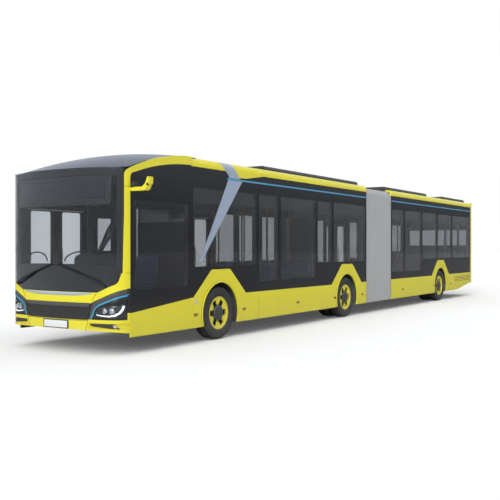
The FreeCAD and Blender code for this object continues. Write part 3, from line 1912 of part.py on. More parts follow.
# Start and end of each roof unit, as shares of the deck behind the nose cap and of the rear car, and
# whether it is a tall one.
FRONT_UNIT_SHARES = ((0.011, 0.167, False), (0.18, 0.343, False), (0.356, 0.987, True))
REAR_UNIT_SHARES = ((0.013, 0.46, True), (0.47, 0.68, False), (0.69, 0.99, True))


def roof_units(label, start, length, shares):
    units = [
        roof_unit(f"{label}_{i}", start + length * first, start + length * last, tall)
        for i, (first, last, tall) in enumerate(shares, start=1)
    ]
    return keep(group(label, *units))


roof_units("front_roof_units", cap_end, front_car_end - cap_end, FRONT_UNIT_SHARES)
roof_units("rear_roof_units", rear_car_start, rear_car_length, REAR_UNIT_SHARES)


# Seats: double seats on a pedestal against the walls, facing forwards.
def seat_shape(label, start, near, far, floor_z):
    pan = floor_z + size.seat_height
    under = pan - size.seat_pad
    back = floor_z + size.seat_back_height
    end = start + size.seat_depth
    return extruded(
        label, "x", near, far,
        [
            corner(start + size.seat_leg, floor_z),
            corner(end - size.seat_leg, floor_z),
            corner(end - size.seat_leg, under),
            corner(end, under),
            corner(end + size.seat_lean, back),
            corner(end + size.seat_lean - size.seat_pad / 2, back),
            corner(end - size.seat_pad, pan),
            corner(start, pan),
            corner(start, under),
            corner(start + size.seat_leg, under),
        ],
    )


def seat_row(label, start, end, side, floor_z=size.floor_height):
    """As many double seats as fit between two places, on the side that side gives."""
    near, far = wall_inner - size.seat_width, wall_inner
    if side < 0:
        near, far = -far, -near
    count = int((end - start).value / size.seat_pitch.value)
    return [
        seat_shape(f"{label}_{i}", start + size.seat_pitch * i, near, far, floor_z)
        for i in range(count)
    ]


cab_start = mask_end + size.box_wall
steering_x = (size.cab_inner + wall_inner) / 2
steering_y = cab_start + size.steering_setback
driver_seat = seat_shape(
    "driver_seat", steering_y + size.steering_wheel_radius,
    steering_x - size.driver_seat_half, steering_x + size.driver_seat_half, size.platform_height,
)
front_seats = (
    [driver_seat]
    + seat_row("front_left_seat", front_axle_y + steer_reach, middle_axle_y - drive_reach, 1)
    + seat_row("front_right_seat", door_2_y + door_half + size.seat_pad,
               middle_axle_y - drive_reach, -1)
)
keep(group("front_seats", *front_seats))
rear_seats = (
    seat_row("rear_left_seat", rear_car_start + size.seat_pad, rear_axle_y - drive_reach, 1)
    + seat_row("rear_right_seat", door_3_y + door_half + size.seat_pad,
               rear_axle_y - drive_reach, -1)
    + seat_row("tail_left_seat", tail_floor_start, rear_mask_start, 1, size.tail_floor_height)
    + seat_row("tail_right_seat", tail_floor_start, rear_mask_start, -1, size.tail_floor_height)
)
keep(group("rear_seats", *rear_seats))


# Handrails: poles from floor to ceiling beside the aisle.
def poles(label, start, end, count):
    pitch = (end - start) / count
    x = wall_inner - size.seat_width - size.rail_radius * 2
    result = []
    for i in range(count):
        y = start + pitch / 2 + pitch * i
        for side in (1, -1):
            result.append(
                rod(
                    f"{label}_{i}_{side}", "z", size.rail_radius, size.floor_height,
                    size.ceiling_height, x * side, y,
                )
            )
    return keep(group(label, *result))


poles("front_handrails", front_axle_y + steer_reach, middle_axle_y - drive_reach, 4)
poles("rear_handrails", rear_car_start, rear_axle_y - drive_reach, 3)


# Driver's cab: raised platform, partition behind the driver, dash and steering wheel.
cab_end = cab_start + size.cab_length
platform = box(
    "cab_platform", size.cab_inner, wall_inner, cab_start, cab_end, size.floor_height,
    size.platform_height,
)
partition = box(
    "cab_partition", size.cab_inner, wall_inner, cab_end, cab_end + size.partition_thickness,
    size.floor_height, size.partition_height,
)
dash_bottom = size.windscreen_bottom - size.box_wall
dash = common(
    "dash",
    extruded(
        "dash_block", "x", -wall_inner, wall_inner,
        [
            corner(front_face + size.wall_thickness, dash_bottom),
            corner(cab_start, dash_bottom),
            corner(cab_start + size.box_wall * 2, dash_bottom + size.box_wall),
            corner(cab_start + size.box_wall, size.dash_height),
            corner(front_face + size.wall_thickness, size.dash_height - size.box_wall),
        ],
    ),
    extruded(
        "dash_plan", "z", ZERO, size.ceiling_height,
        nose_plan(size.wall_thickness + size.dash_gap, nose_end),
    ),
)
column = rod(
    "steering_column", "z", size.steering_column_radius, size.platform_height,
    size.steering_wheel_height, steering_x, steering_y,
)
wheel_ring = doc.addObject("Part::Torus", "steering_ring")
wheel_ring.setExpression("Radius1", size.steering_wheel_radius.text)
wheel_ring.setExpression("Radius2", size.steering_wheel_rim.text)
place(wheel_ring, steering_x, steering_y, size.steering_wheel_height)
spoke = box(
    "steering_spoke", steering_x - size.steering_wheel_radius,
    steering_x + size.steering_wheel_radius, steering_y - size.steering_column_radius,
    steering_y + size.steering_column_radius,
    size.steering_wheel_height - size.steering_wheel_rim / 2,
    size.steering_wheel_height + size.steering_wheel_rim / 2,
)
cab = fused("cab", platform, partition, column, wheel_ring, spoke)
keep(group("driver_cab", cab, dash))


# Report what each kept piece is, then stop if one is broken.
doc.recompute()
broken = [o.Name for o in doc.Objects if "Invalid" in o.State or "Error" in o.State]
for piece in nodes:
    if piece.Shape.isNull() or not piece.Shape.isValid():
        broken.append(piece.Label)
if broken:
    sys.exit("broken: " + ", ".join(broken))
for piece in nodes:
    piece.Shape.exportStep(f"parts/{piece.Label}.step")
    print(piece.Label, len(piece.Shape.Solids), "solids")
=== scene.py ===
# Articulated city bus, dressed on its solid frame.
import math

import bpy
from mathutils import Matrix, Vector


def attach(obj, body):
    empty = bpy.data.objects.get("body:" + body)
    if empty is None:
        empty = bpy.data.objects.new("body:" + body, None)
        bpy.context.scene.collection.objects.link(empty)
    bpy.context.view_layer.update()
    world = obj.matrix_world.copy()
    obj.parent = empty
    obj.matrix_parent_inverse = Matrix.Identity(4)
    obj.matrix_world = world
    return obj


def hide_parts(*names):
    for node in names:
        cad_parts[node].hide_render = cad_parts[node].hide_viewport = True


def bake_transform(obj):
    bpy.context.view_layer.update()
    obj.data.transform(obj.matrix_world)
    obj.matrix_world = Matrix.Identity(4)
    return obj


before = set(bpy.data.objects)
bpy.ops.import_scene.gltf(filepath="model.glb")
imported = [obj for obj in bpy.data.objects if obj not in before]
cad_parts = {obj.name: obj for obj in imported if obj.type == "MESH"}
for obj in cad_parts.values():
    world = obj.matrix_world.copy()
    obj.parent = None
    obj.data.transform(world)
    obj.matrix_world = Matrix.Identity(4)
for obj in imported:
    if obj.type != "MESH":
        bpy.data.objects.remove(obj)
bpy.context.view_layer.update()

# Camera. It stands at eye height in front of the left corner of the bus, turned about a third of a
# right angle off the direction of travel, with a slightly long lens.
camera_data = bpy.data.cameras.new("camera")
camera_data.lens = 53.88
camera_data.sensor_width = 36
camera_data.clip_end = 500
camera = bpy.data.objects.new("camera", camera_data)
camera.location = (9.122, -17.270, 1.659)
camera.rotation_euler = [math.radians(turn) for turn in (89.82, 0, 33.19)]
bpy.context.scene.collection.objects.link(camera)
bpy.context.scene.camera = camera
bpy.context.scene.view_settings.view_transform = "Standard"


# Studio. A pale floor carries the shadow, the background is white, and soft lamps light the front
# and the roof a little more than the left side. To glossy reflection rays the floor is dark grey,
# a painted reflection of dark ground in the glossy body and glass.
def let_go():
    """Leaves no piece selected."""
    if bpy.context.object and bpy.context.object.mode != "OBJECT":
        bpy.ops.object.mode_set(mode="OBJECT")
    bpy.ops.object.select_all(action="DESELECT")


def wide_lamp(name, place, spread, strength):
    """A far, wide and soft lamp that shines from a place towards the bus."""
    data = bpy.data.lights.new(name, "SUN")
    data.angle = math.radians(spread)
    data.energy = strength
    lamp = bpy.data.objects.new(name, data)
    lamp.location = place
    lamp.rotation_euler = (-Vector(place)).to_track_quat("-Z", "Y").to_euler()
    bpy.context.scene.collection.objects.link(lamp)


def add(tree, kind, inputs=(), **settings):
    """Adds a shader node, whose inputs take plain values or the sockets that feed them."""
    node = tree.nodes.new("ShaderNode" + kind)
    for setting, value in settings.items():
        setattr(node, setting, value)
    for socket, value in dict(inputs).items():
        if isinstance(value, bpy.types.NodeSocket):
            tree.links.new(value, node.inputs[socket])
        else:
            node.inputs[socket].default_value = value
    return node.outputs


def reckon(tree, operation, *terms):
    """A sum on numbers or sockets, and the socket that gives its result."""
    return add(tree, "Math", dict(enumerate(terms)), operation=operation)[0]


def tint(tree, share, first, second, **settings):
    """Two colours mixed in a share, and the socket that gives the result."""
    colours = {"Factor": share, "A": first, "B": second}
    return add(tree, "Mix", colours, data_type="RGBA", **settings)["Result"]


wide_lamp("front_lamp", (5, -20, 12), 40, 1.9)
wide_lamp("top_lamp", (2, 1, 20), 90, 1.3)

world = bpy.context.scene.world or bpy.data.worlds.new("studio")
bpy.context.scene.world = world
world.use_nodes = True
tree = world.node_tree
tree.nodes.clear()
ray = add(tree, "LightPath")
way = add(tree, "SeparateXYZ", {0: add(tree, "TexCoord")["Generated"]})
rise = add(
    tree, "MapRange", {"Value": way["Z"], "From Min": 0.01, "From Max": 0.20},
    interpolation_type="SMOOTHSTEP",
)
around = tint(tree, rise["Result"], (0.10, 0.11, 0.12, 1), (0.62, 0.68, 0.78, 1))
plain = add(tree, "Background", {"Color": (0.93, 0.96, 1, 1), "Strength": 0.36})
mirrored = add(tree, "Background", {"Color": around})
white = add(tree, "Background", {"Color": (1, 1, 1, 1)})
seen = reckon(tree, "MAXIMUM", ray["Is Camera Ray"], ray["Is Transmission Ray"])
shown = reckon(tree, "MULTIPLY", seen, reckon(tree, "LESS_THAN", ray["Diffuse Depth"], 0.5))
glossy = add(tree, "MixShader", {"Fac": ray["Is Glossy Ray"], 1: plain[0], 2: mirrored[0]})
either = add(tree, "MixShader", {"Fac": shown, 1: glossy[0], 2: white[0]})
add(tree, "OutputWorld", {"Surface": either[0]})

let_go()
bpy.ops.mesh.primitive_plane_add(size=400)
floor = bpy.context.object
floor.name = "studio_floor"
floor_finish = bpy.data.materials.new("studio_floor")
floor_finish.use_nodes = True
tree = floor_finish.node_tree
tree.nodes.clear()
ray = add(tree, "LightPath")
# Painted reflection: in glossy reflections the floor turns dark grey instead of its pale colour.
mirrored = reckon(tree, "MULTIPLY", ray["Is Glossy Ray"], ray["Is Reflection Ray"])
matt = add(
    tree, "BsdfDiffuse", {"Color": tint(tree, mirrored, (0.9, 0.9, 0.9, 1), (0.22, 0.22, 0.23, 1))}
)
glow = add(tree, "Emission", {"Strength": reckon(tree, "MULTIPLY", ray["Is Camera Ray"], 0.07)})
both = add(tree, "AddShader", {0: matt[0], 1: glow[0]})
add(tree, "OutputMaterial", {"Surface": both[0]})
floor.data.materials.append(floor_finish)


# Floors and wheel boxes. Plywood on a welded frame, under a hard-wearing grey floor cover with small
# light flecks that is turned up at the walls.
def new_finish(name, colour, roughness, values=()):
    """A finish with one Principled shader, and plain values on its sockets."""
    finish = bpy.data.materials.new(name)
    finish.use_nodes = True
    shader = finish.node_tree.nodes["Principled BSDF"]
    shader.inputs["Base Color"].default_value = (*colour, 1)
    shader.inputs["Roughness"].default_value = roughness
    for socket, value in dict(values).items():
        shader.inputs[socket].default_value = value
    return finish


def effect(name, inputs, outputs):
    """An empty group with named inputs and outputs, and the sockets that it gets and gives."""
    group = bpy.data.node_groups.new(name, "ShaderNodeTree")
    for socket, kind, value in inputs:
        made = group.interface.new_socket(socket, in_out="INPUT", socket_type=kind)
        made.default_value = value
    for socket, kind in outputs:
        group.interface.new_socket(socket, in_out="OUTPUT", socket_type=kind)
    gets = group.nodes.new("NodeGroupInput").outputs
    gives = group.nodes.new("NodeGroupOutput").inputs
    return group, gets, gives


def join(tree, *pairs):
    """Feeds sockets from others."""
    for source, target in pairs:
        tree.links.new(source, target)


def on_piece(tree):
    """The socket that gives a place on the piece in its own coordinates."""
    return add(tree, "TexCoord")["Object"]


def lay(finish, group, targets, values=()):
    """Puts an effect into a finish; targets says which of its outputs feed which sockets."""
    tree = finish.node_tree
    shader = tree.nodes["Principled BSDF"]
    used = tree.nodes.new("ShaderNodeGroup")
    used.node_tree = group
    for socket, value in dict(values).items():
        used.inputs[socket].default_value = value
    for output, socket in targets.items():
        tree.links.new(used.outputs[output], shader.inputs[socket])


def dress(finish, *names):
    """Gives CAD nodes a finish."""
    for name in names:
        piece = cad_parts[name]
        if not piece.material_slots:
            piece.data.materials.append(finish)
        for place in piece.material_slots:
            place.material = finish


COLOUR = "NodeSocketColor"
NUMBER = "NodeSocketFloat"
ARROW = "NodeSocketVector"

flecks, gets, gives = effect(
    "flecks",
    [("Ground", COLOUR, (0.2, 0.21, 0.22, 1)), ("Fleck", COLOUR, (0.5, 0.5, 0.5, 1)),
     ("Scale", NUMBER, 160), ("Share", NUMBER, 0.12), ("Wear", NUMBER, 0.3)],
    [("Color", COLOUR), ("Roughness", NUMBER)],
)
place = on_piece(flecks)
cells = add(flecks, "TexVoronoi", {"Vector": place, "Scale": gets["Scale"]})
cloud = add(flecks, "TexNoise", {"Vector": place, "Scale": 2.5, "Detail": 6})
tread_wear = add(flecks, "MapRange", {"Value": cloud["Fac"], "To Min": 0.75, "To Max": 0.4})
spots = reckon(flecks, "LESS_THAN", cells["Distance"], gets["Share"])
speck = tint(flecks, spots, gets["Ground"], gets["Fleck"])
dull = tint(flecks, gets["Wear"], speck, cloud["Color"], blend_type="MULTIPLY")
join(flecks, (dull, gives["Color"]), (tread_wear["Result"], gives["Roughness"]))

floor_cover = new_finish("floor_cover", (0.2, 0.21, 0.22), 0.6)
lay(floor_cover, flecks, {"Color": "Base Color", "Roughness": "Roughness"})
dress(floor_cover, "front_floor", "rear_floor", "front_wheel_boxes", "rear_wheel_boxes")


# Axles, knuckles, tie rod and turntable. Cast and welded steel in black chassis paint, with a
# film of road dust and a slightly rough skin.
film, gets, gives = effect(
    "road_film",
    [("Color", COLOUR, (0.5, 0.5, 0.5, 1)), ("Dust", COLOUR, (0.24, 0.21, 0.17, 1)),
     ("Roughness", NUMBER, 0.3), ("Height", NUMBER, 0.9), ("Amount", NUMBER, 0.25),
     ("Shift", NUMBER, 0.06)],
    [("Color", COLOUR), ("Roughness", NUMBER)],
)
place = on_piece(film)
up = add(film, "SeparateXYZ", {0: place})["Z"]
low = add(film, "MapRange", {"Value": up, "From Max": gets["Height"], "To Min": 1, "To Max": 0})
cloud = add(film, "TexNoise", {"Vector": place, "Scale": 3, "Detail": 8, "Roughness": 0.65})
broad = add(film, "TexNoise", {"Vector": place, "Scale": 0.9})
patchy = reckon(film, "MULTIPLY", low["Result"], cloud["Fac"])
share = add(film, "Math", {0: patchy, 1: gets["Amount"]}, operation="MULTIPLY", use_clamp=True)[0]
swing = reckon(film, "MULTIPLY_ADD", reckon(film, "SUBTRACT", broad["Fac"], 0.5), gets["Shift"], 1)
shade = add(film, "HueSaturation", {"Value": swing, "Color": gets["Color"]})
rough = add(film, "Mix", {"Factor": share, "A": gets["Roughness"], "B": 0.8})
join(
    film, (tint(film, share, shade["Color"], gets["Dust"]), gives["Color"]),
    (rough["Result"], gives["Roughness"]),
)

skin, gets, gives = effect(
    "skin",
    [("Scale", NUMBER, 400), ("Strength", NUMBER, 0.1), ("Depth", NUMBER, 0.001)],
    [("Normal", ARROW)],
)
pebble = add(skin, "TexNoise", {"Vector": on_piece(skin), "Scale": gets["Scale"], "Detail": 3})
bump = add(
    skin, "Bump",
    {"Height": pebble["Fac"], "Strength": gets["Strength"], "Distance": gets["Depth"]},
)
join(skin, (bump["Normal"], gives["Normal"]))


def filmed(name, colour, roughness, amount, height, scale, strength, values=()):
    """A finish with road film and a fine skin."""
    finish = new_finish(name, colour, roughness, values)
    lay(
        finish, film, {"Color": "Base Color", "Roughness": "Roughness"},
        {"Color": (*colour, 1), "Roughness": roughness, "Amount": amount, "Height": height},
    )
    lay(finish, skin, {"Normal": "Normal"}, {"Scale": scale, "Strength": strength})
    return finish


chassis_paint = filmed("chassis_paint", (0.035, 0.035, 0.037), 0.5, 1.1, 1.2, 120, 0.35)
dress(
    chassis_paint, "front_axle", "middle_axle", "rear_axle", "steering_knuckle_left",
    "steering_knuckle_right", "tie_rod", "lower_turntable", "upper_turntable",
)


# Rims. Pressed steel discs with welded rings, painted black inside and body yellow on the outer
# flange, held by ten nuts under the trim.
def two_tone(finish, first, second, share):
    """Feeds two colours, mixed in a share, into a filmed finish."""
    tree = finish.node_tree
    worn = [node for node in tree.nodes if node.type == "GROUP" and node.node_tree == film][0]
    tree.links.new(tint(tree, share, (*first, 1), (*second, 1)), worn.inputs["Color"])


axle_places = {"front": -6.23, "middle": -1.03, "rear": 5.65}
axle_height = 0.478
yellow = (0.80, 0.72, 0.03)
rim_black = (0.02, 0.02, 0.022)
flange_start = 0.262
flange_end = 0.266

for car, y in axle_places.items():
    rim_paint = filmed(f"{car}_rim_paint", rim_black, 0.35, 0.5, 1.2, 90, 0.1)
    tree = rim_paint.node_tree
    centring = {
        "Vector": on_piece(tree), "Location": (0, -y, -axle_height), "Scale": (0, 1, 1),
    }
    centred = add(tree, "Mapping", centring)
    away = add(tree, "VectorMath", {0: centred["Vector"]}, operation="LENGTH")
    reach = {"Value": away["Value"], "From Min": flange_start, "From Max": flange_end}
    flange = add(tree, "MapRange", reach)
    two_tone(rim_paint, rim_black, yellow, flange["Result"])
    node = "rim" if car == "front" else "rims"
    dress(rim_paint, f"{car}_left_{node}", f"{car}_right_{node}")


# Tyres. Low-section bus tyres with four grooves round the tread, notched shoulders, and rings
# moulded in a plain side wall.
def take(piece):
    """Selects one piece and makes it active."""
    let_go()
    piece.select_set(True)
    bpy.context.view_layer.objects.active = piece


def at_work(piece, pick=None, kind="FACE"):
    """Opens a piece in edit mode with the faces or edges that pick accepts selected."""
    take(piece)
    bpy.ops.object.mode_set(mode="EDIT")
    bpy.ops.mesh.select_mode(type=kind)
    bpy.ops.mesh.select_all(action="DESELECT" if pick else "SELECT")
    if pick:
        bpy.ops.object.mode_set(mode="OBJECT")
        parts = piece.data.polygons if kind == "FACE" else piece.data.edges
        for part in parts:
            part.select = bool(pick(part))
        bpy.ops.object.mode_set(mode="EDIT")


def done():
    """Back to object mode, with normals outwards."""
    bpy.ops.mesh.select_all(action="SELECT")
    bpy.ops.mesh.normals_make_consistent(inside=False)
    bpy.ops.object.mode_set(mode="OBJECT")


def loop(name, points):
    """A closed line of edges through (x, z) points: a circle with its corners moved."""
    let_go()
    bpy.ops.mesh.primitive_circle_add(vertices=len(points), fill_type="NOTHING")
    piece = bpy.context.object
    piece.name = name
    for vertex, (across, up) in zip(piece.data.vertices, points):
        vertex.co = (across, 0, up)
    return piece


def smooth(piece, angle=35):
    """Shades a piece smooth across edges flatter than an angle."""
    take(piece)
    bpy.ops.object.shade_smooth_by_angle(angle=math.radians(angle))


def spun(name, points, steps=72, angle=None):
    """A ring with a closed section, turned about the x axis, and shaded smooth up to an angle."""
    piece = loop(name, points)
    at_work(piece)
    bpy.ops.mesh.spin(steps=steps, angle=math.tau, center=(0, 0, 0), axis=(1, 0, 0))
    bpy.ops.mesh.select_all(action="SELECT")
    bpy.ops.mesh.remove_doubles(threshold=0.0001)
    done()
    if angle:
        smooth(piece, angle)
    return piece


def moved(piece, shift):
    """Moves the mesh of a piece."""
    for vertex in piece.data.vertices:
        vertex.co += Vector(shift)
    return piece


def copy_of(piece, name, shift=(0, 0, 0), turn=False):
    """A copy with its own mesh, moved, and turned to the other side of the bus where asked."""
    other = bpy.data.objects.new(name, piece.data.copy())
    bpy.context.scene.collection.objects.link(other)
    moved(other, shift)
    if turn:
        for vertex in other.data.vertices:
            vertex.co.x *= -1
        other.data.flip_normals()
    return other


def mount(piece, body, finish, slot):
    """Gives a finished piece its finish and its body. The slot is not used."""
    piece.data.materials.clear()
    piece.data.materials.append(finish)
    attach(piece, body)
    return piece


SIDES = ((1, "left"), (-1, "right"))
tyre_width = 0.275
tyre_face = 1.245
twin_gap = 0.311
blocks = 90
shoulder_start = 0.4695
shoulder_end = 0.4712
notch_depth = 0.009
half_tread = [
    (0.021, 0.296), (0.013, 0.304), (0.012, 0.318), (0.007, 0.325), (0.004, 0.347), (0.0005, 0.378),
    (0.0005, 0.402), (0.004, 0.405), (0.0045, 0.427), (0.0095, 0.447), (0.018, 0.460), (0.032, 0.468),
    (0.060, 0.4715), (0.0615, 0.459), (0.069, 0.459), (0.0705, 0.4725), (0.102, 0.475),
    (0.104, 0.462), (0.112, 0.462), (0.114, 0.476),
]
tyre_section = half_tread + [(tyre_width - depth, height) for depth, height in half_tread[::-1]]
tyre = spun("tyre", [(tyre_face - depth, height) for depth, height in tyre_section], blocks)


def notched(face):
    """True for every third face of the shoulder."""
    turn = math.atan2(face.center.z, face.center.y) % math.tau / math.tau
    on_shoulder = shoulder_start < Vector((face.center.y, face.center.z)).length < shoulder_end
    return on_shoulder and round(turn * blocks - 0.5) % 3 == 0


at_work(tyre, notched)
bpy.ops.mesh.inset(thickness=0.003)
bpy.ops.transform.shrink_fatten(value=notch_depth)
done()
smooth(tyre, 30)
rubber = filmed("tyre_rubber", (0.028, 0.028, 0.032), 0.62, 0.3, 1.1, 260, 0.25)

for car, y in axle_places.items():
    for side, word in SIDES:
        twins = [("outer", 0)] if car == "front" else [("outer", 0), ("inner", -twin_gap)]
        for twin, inward in twins:
            name = f"{car}_{word}_{twin}_tyre"
            fitted = copy_of(tyre, name, (inward, y, axle_height), side < 0)
            mount(fitted, f"{car}_{word}_wheel", rubber, "tyre_rubber")
            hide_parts(f"{car}_{word}_tyre{'s' if len(twins) > 1 else ''}")
bpy.data.objects.remove(tyre)


# Wheel trim. A moulded plastic disc in body yellow with six radial openings, clipped to the rim, and
# a domed black cap with a bright ring over the hub. The cap is blank.
def ease(piece, width, steps=2, angle=30):
    """Rounds the sharp edges and shades the piece smooth."""
    take(piece)
    bevel = piece.modifiers.new("edge", "BEVEL")
    bevel.width = width
    bevel.segments = steps
    bevel.limit_method = "ANGLE"
    bevel.angle_limit = math.radians(angle)
    bpy.ops.object.modifier_apply(modifier=bevel.name)
    smooth(piece)


def set_in():
    """Puts the place, the turn and the size of the active piece into its mesh."""
    bpy.ops.object.transform_apply(location=True, rotation=True, scale=True)


def slab(name, low, high, edge=0.004, steps=2):
    """A block between two corners, with its edges rounded."""
    let_go()
    bpy.ops.mesh.primitive_cube_add(size=1, location=(Vector(low) + Vector(high)) / 2)
    piece = bpy.context.object
    piece.name = name
    piece.scale = Vector(high) - Vector(low)
    set_in()
    if edge:
        ease(piece, edge, steps)
    return piece


def carve(piece, tool):
    """Cuts a tool out of a piece, and removes the tool."""
    take(piece)
    cut = piece.modifiers.new("cut", "BOOLEAN")
    cut.operation = "DIFFERENCE"
    cut.object = tool
    cut.solver = "EXACT"
    bpy.ops.object.modifier_apply(modifier=cut.name)
    bpy.data.objects.remove(tool)


openings = 6
trim = spun(
    "wheel_trim",
    [(1.190, 0.140), (1.196, 0.140), (1.202, 0.190), (1.206, 0.235), (1.207, 0.258), (1.212, 0.268),
     (1.218, 0.2735), (1.212, 0.2755), (1.200, 0.270), (1.196, 0.255), (1.194, 0.230), (1.190, 0.190)],
    96,
)
for turn in range(openings):
    opening = slab("opening", (1.15, -0.052, 0.10), (1.25, 0.052, 0.246), 0)
    at_work(opening, lambda edge: True, "EDGE")
    done()
    ease(opening, 0.018, 3)
    take(opening)
    bpy.ops.transform.rotate(
        value=(turn + 0.5) * math.tau / openings, orient_axis="X", center_override=(0, 0, 0)
    )
    set_in()
    carve(trim, opening)
ease(trim, 0.0025, 2, 40)
cap = spun(
    "hub_cap",
    [(1.168, 0.0005), (1.168, 0.131), (1.204, 0.139), (1.214, 0.1385), (1.219, 0.134), (1.226, 0.128),
     (1.227, 0.120), (1.231, 0.100), (1.236, 0.070), (1.239, 0.040), (1.240, 0.0005)],
    64, 40,
)
ring = spun(
    "cap_ring",
    [(1.2185, 0.1350), (1.2225, 0.1355), (1.2245, 0.1325), (1.2235, 0.1295), (1.2195, 0.1300)],
    64, 60,
)
trim_paint = filmed("trim_paint", yellow, 0.3, 0.5, 1.0, 500, 0.03, {"Coat Weight": 0.6})
cap_paint = filmed("cap_paint", (0.022, 0.024, 0.035), 0.3, 0.5, 1.0, 400, 0.04, {"Coat Weight": 0.3})
bright = filmed("bright_ring", (0.55, 0.6, 0.62), 0.25, 0.4, 1.0, 300, 0.05, {"Metallic": 1.0})
for car, y in axle_places.items():
    for side, word in SIDES:
        for piece, finish in ((trim, trim_paint), (cap, cap_paint), (ring, bright)):
            name = f"{car}_{word}_{piece.name}"
            fitted = copy_of(piece, name, (0, y, axle_height), side < 0)
            mount(fitted, f"{car}_{word}_wheel", finish, "rim_paint")
for piece in (trim, cap, ring):
    bpy.data.objects.remove(piece)


# Front floor. The same floor, with an underside that rises to the bumper at its front end. It is cut
# from a copy of the floor, in the same cover.
trimmed = bpy.data.objects.new("front_floor_trimmed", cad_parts["front_floor"].data.copy())
bpy.context.scene.collection.objects.link(trimmed)
at_work(trimmed)
bpy.ops.mesh.remove_doubles(threshold=0.00001)
bpy.ops.object.mode_set(mode="OBJECT")
wedge = slab("wedge", (-1.40, -8.75, 0.20), (1.40, -8.05, 0.24), 0)
for vertex in wedge.data.vertices:
    if vertex.co.z > 0.22:
        vertex.co.z = 0.348 if vertex.co.y < -8.4 else 0.2385
carve(trimmed, wedge)
mount(trimmed, "front_car", floor_cover, "floor_grey")
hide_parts("front_floor")


# Side walls. Bonded panels in gloss black between and below the panes, so that glass and panel read
# as one dark band, with black sealant in the joints.
black = (0.016, 0.017, 0.019)
black_paint = filmed("black_gloss", black, 0.12, 0.35, 0.9, 700, 0.012, {"Specular IOR Level": 0.5})
dress(black_paint, "front_side_walls", "rear_side_walls")


# Front mask and camera arms. Steel and moulded panels in one coat of gloss yellow with a clear coat,
# which carry a thin road film near the ground.
def body_yellow(name, coat=0.5, specular=0.4):
    """The paint of the body, with a thickness of clear coat."""
    return filmed(
        name, yellow, 0.32, 0.35, 0.75, 650, 0.02,
        {"Coat Weight": coat, "Coat Roughness": 0.06, "Specular IOR Level": specular},
    )


body_paint = body_yellow("body_paint")
dress(body_paint, "front_mask", "camera_arms")


# Panes. Dark tinted safety glass bonded in the openings, with a soft heat-treated ripple. The
# windscreen is laminated from two clearer sheets.
def glass(name, colour, ripple, specular=0.5):
    """Clear glass with a colour and a ripple."""
    finish = new_finish(
        name, colour, 0.0,
        {"Transmission Weight": 1.0, "IOR": 1.45, "Specular IOR Level": specular},
    )
    lay(finish, skin, {"Normal": "Normal"}, {"Scale": 6, "Strength": ripple, "Depth": 0.01})
    return finish


dress(glass("tinted_glass", (0.44, 0.45, 0.47), 0.004), "front_panes", "rear_panes")
dress(glass("screen_glass", (0.72, 0.76, 0.79), 0.003), "windscreen")


# Roof bands. The lower part of each side fairing is painted black to continue the side wall, and the
# band above it is body yellow. Inside, the same paint is under the ceiling panels.
BAND_FOOT = 3.057
band_paint = body_yellow("band_paint", 0.3, 0.25)
tree = band_paint.node_tree
up = add(tree, "SeparateXYZ", {0: on_piece(tree)})["Z"]
two_tone(band_paint, black, yellow, reckon(tree, "GREATER_THAN", up, BAND_FOOT))
dress(band_paint, "front_roof", "rear_roof")


# Corner pillars. Moulded arches in body yellow that carry the roof over the driver's windows, with
# a black inner side, so that no yellow shows through the windscreen.
ARCH_TOP = 3.04


def black_inside(finish, corner, end, reach):
    """Paints a finish black up to a distance from the middle of the corner that it goes round."""
    tree = finish.node_tree
    parts = add(tree, "SeparateXYZ", {0: on_piece(tree)})
    aside = reckon(tree, "SUBTRACT", reckon(tree, "ABSOLUTE", parts["X"]), corner[0])
    ahead = reckon(tree, "MULTIPLY", reckon(tree, "SUBTRACT", parts["Y"], corner[1]), end)
    flat = add(tree, "CombineXYZ", {
        "X": reckon(tree, "MAXIMUM", aside, 0), "Y": reckon(tree, "MAXIMUM", ahead, 0),
    })
    away = add(tree, "VectorMath", {0: flat[0]}, operation="LENGTH")
    outside = reckon(tree, "GREATER_THAN", away["Value"], reach)
    roofward = reckon(tree, "GREATER_THAN", parts["Z"], ARCH_TOP)
    two_tone(finish, black, yellow, reckon(tree, "MAXIMUM", outside, roofward))


nose_corner = (0.975, -8.590)
pillar_paint = body_yellow("pillar_paint")
black_inside(pillar_paint, nose_corner, -1, 0.294)
dress(pillar_paint, "corner_pillars")


# Rear mask and skirts. A yellow moulding round both rear corners and hinged yellow panels along the
# sides, all lined in black on the inside.
tail_corner = (1.045, 8.825)
lined_paint = body_yellow("lined_paint")
black_inside(lined_paint, tail_corner, 1, 0.205)
dress(lined_paint, "rear_mask", "front_skirts", "rear_skirts")


# Colour lines. Cut foil on the paint: a light blue line above the windows, a silver-blue slash that
# folds at that line behind the driver, and a yellow wedge where the slash meets the roof band.
SIDE = 1.275
COVE = 0.12
COVE_START = 3.095
COVE_STEP = 0.018
FOIL = 0.0012


def thicken(piece, depth):
    """Gives a sheet a thickness, half to each side, once its faces all point one way."""
    at_work(piece)
    done()
    wall = piece.modifiers.new("wall", "SOLIDIFY")
    wall.thickness = depth
    wall.offset = 0
    bpy.ops.object.modifier_apply(modifier=wall.name)


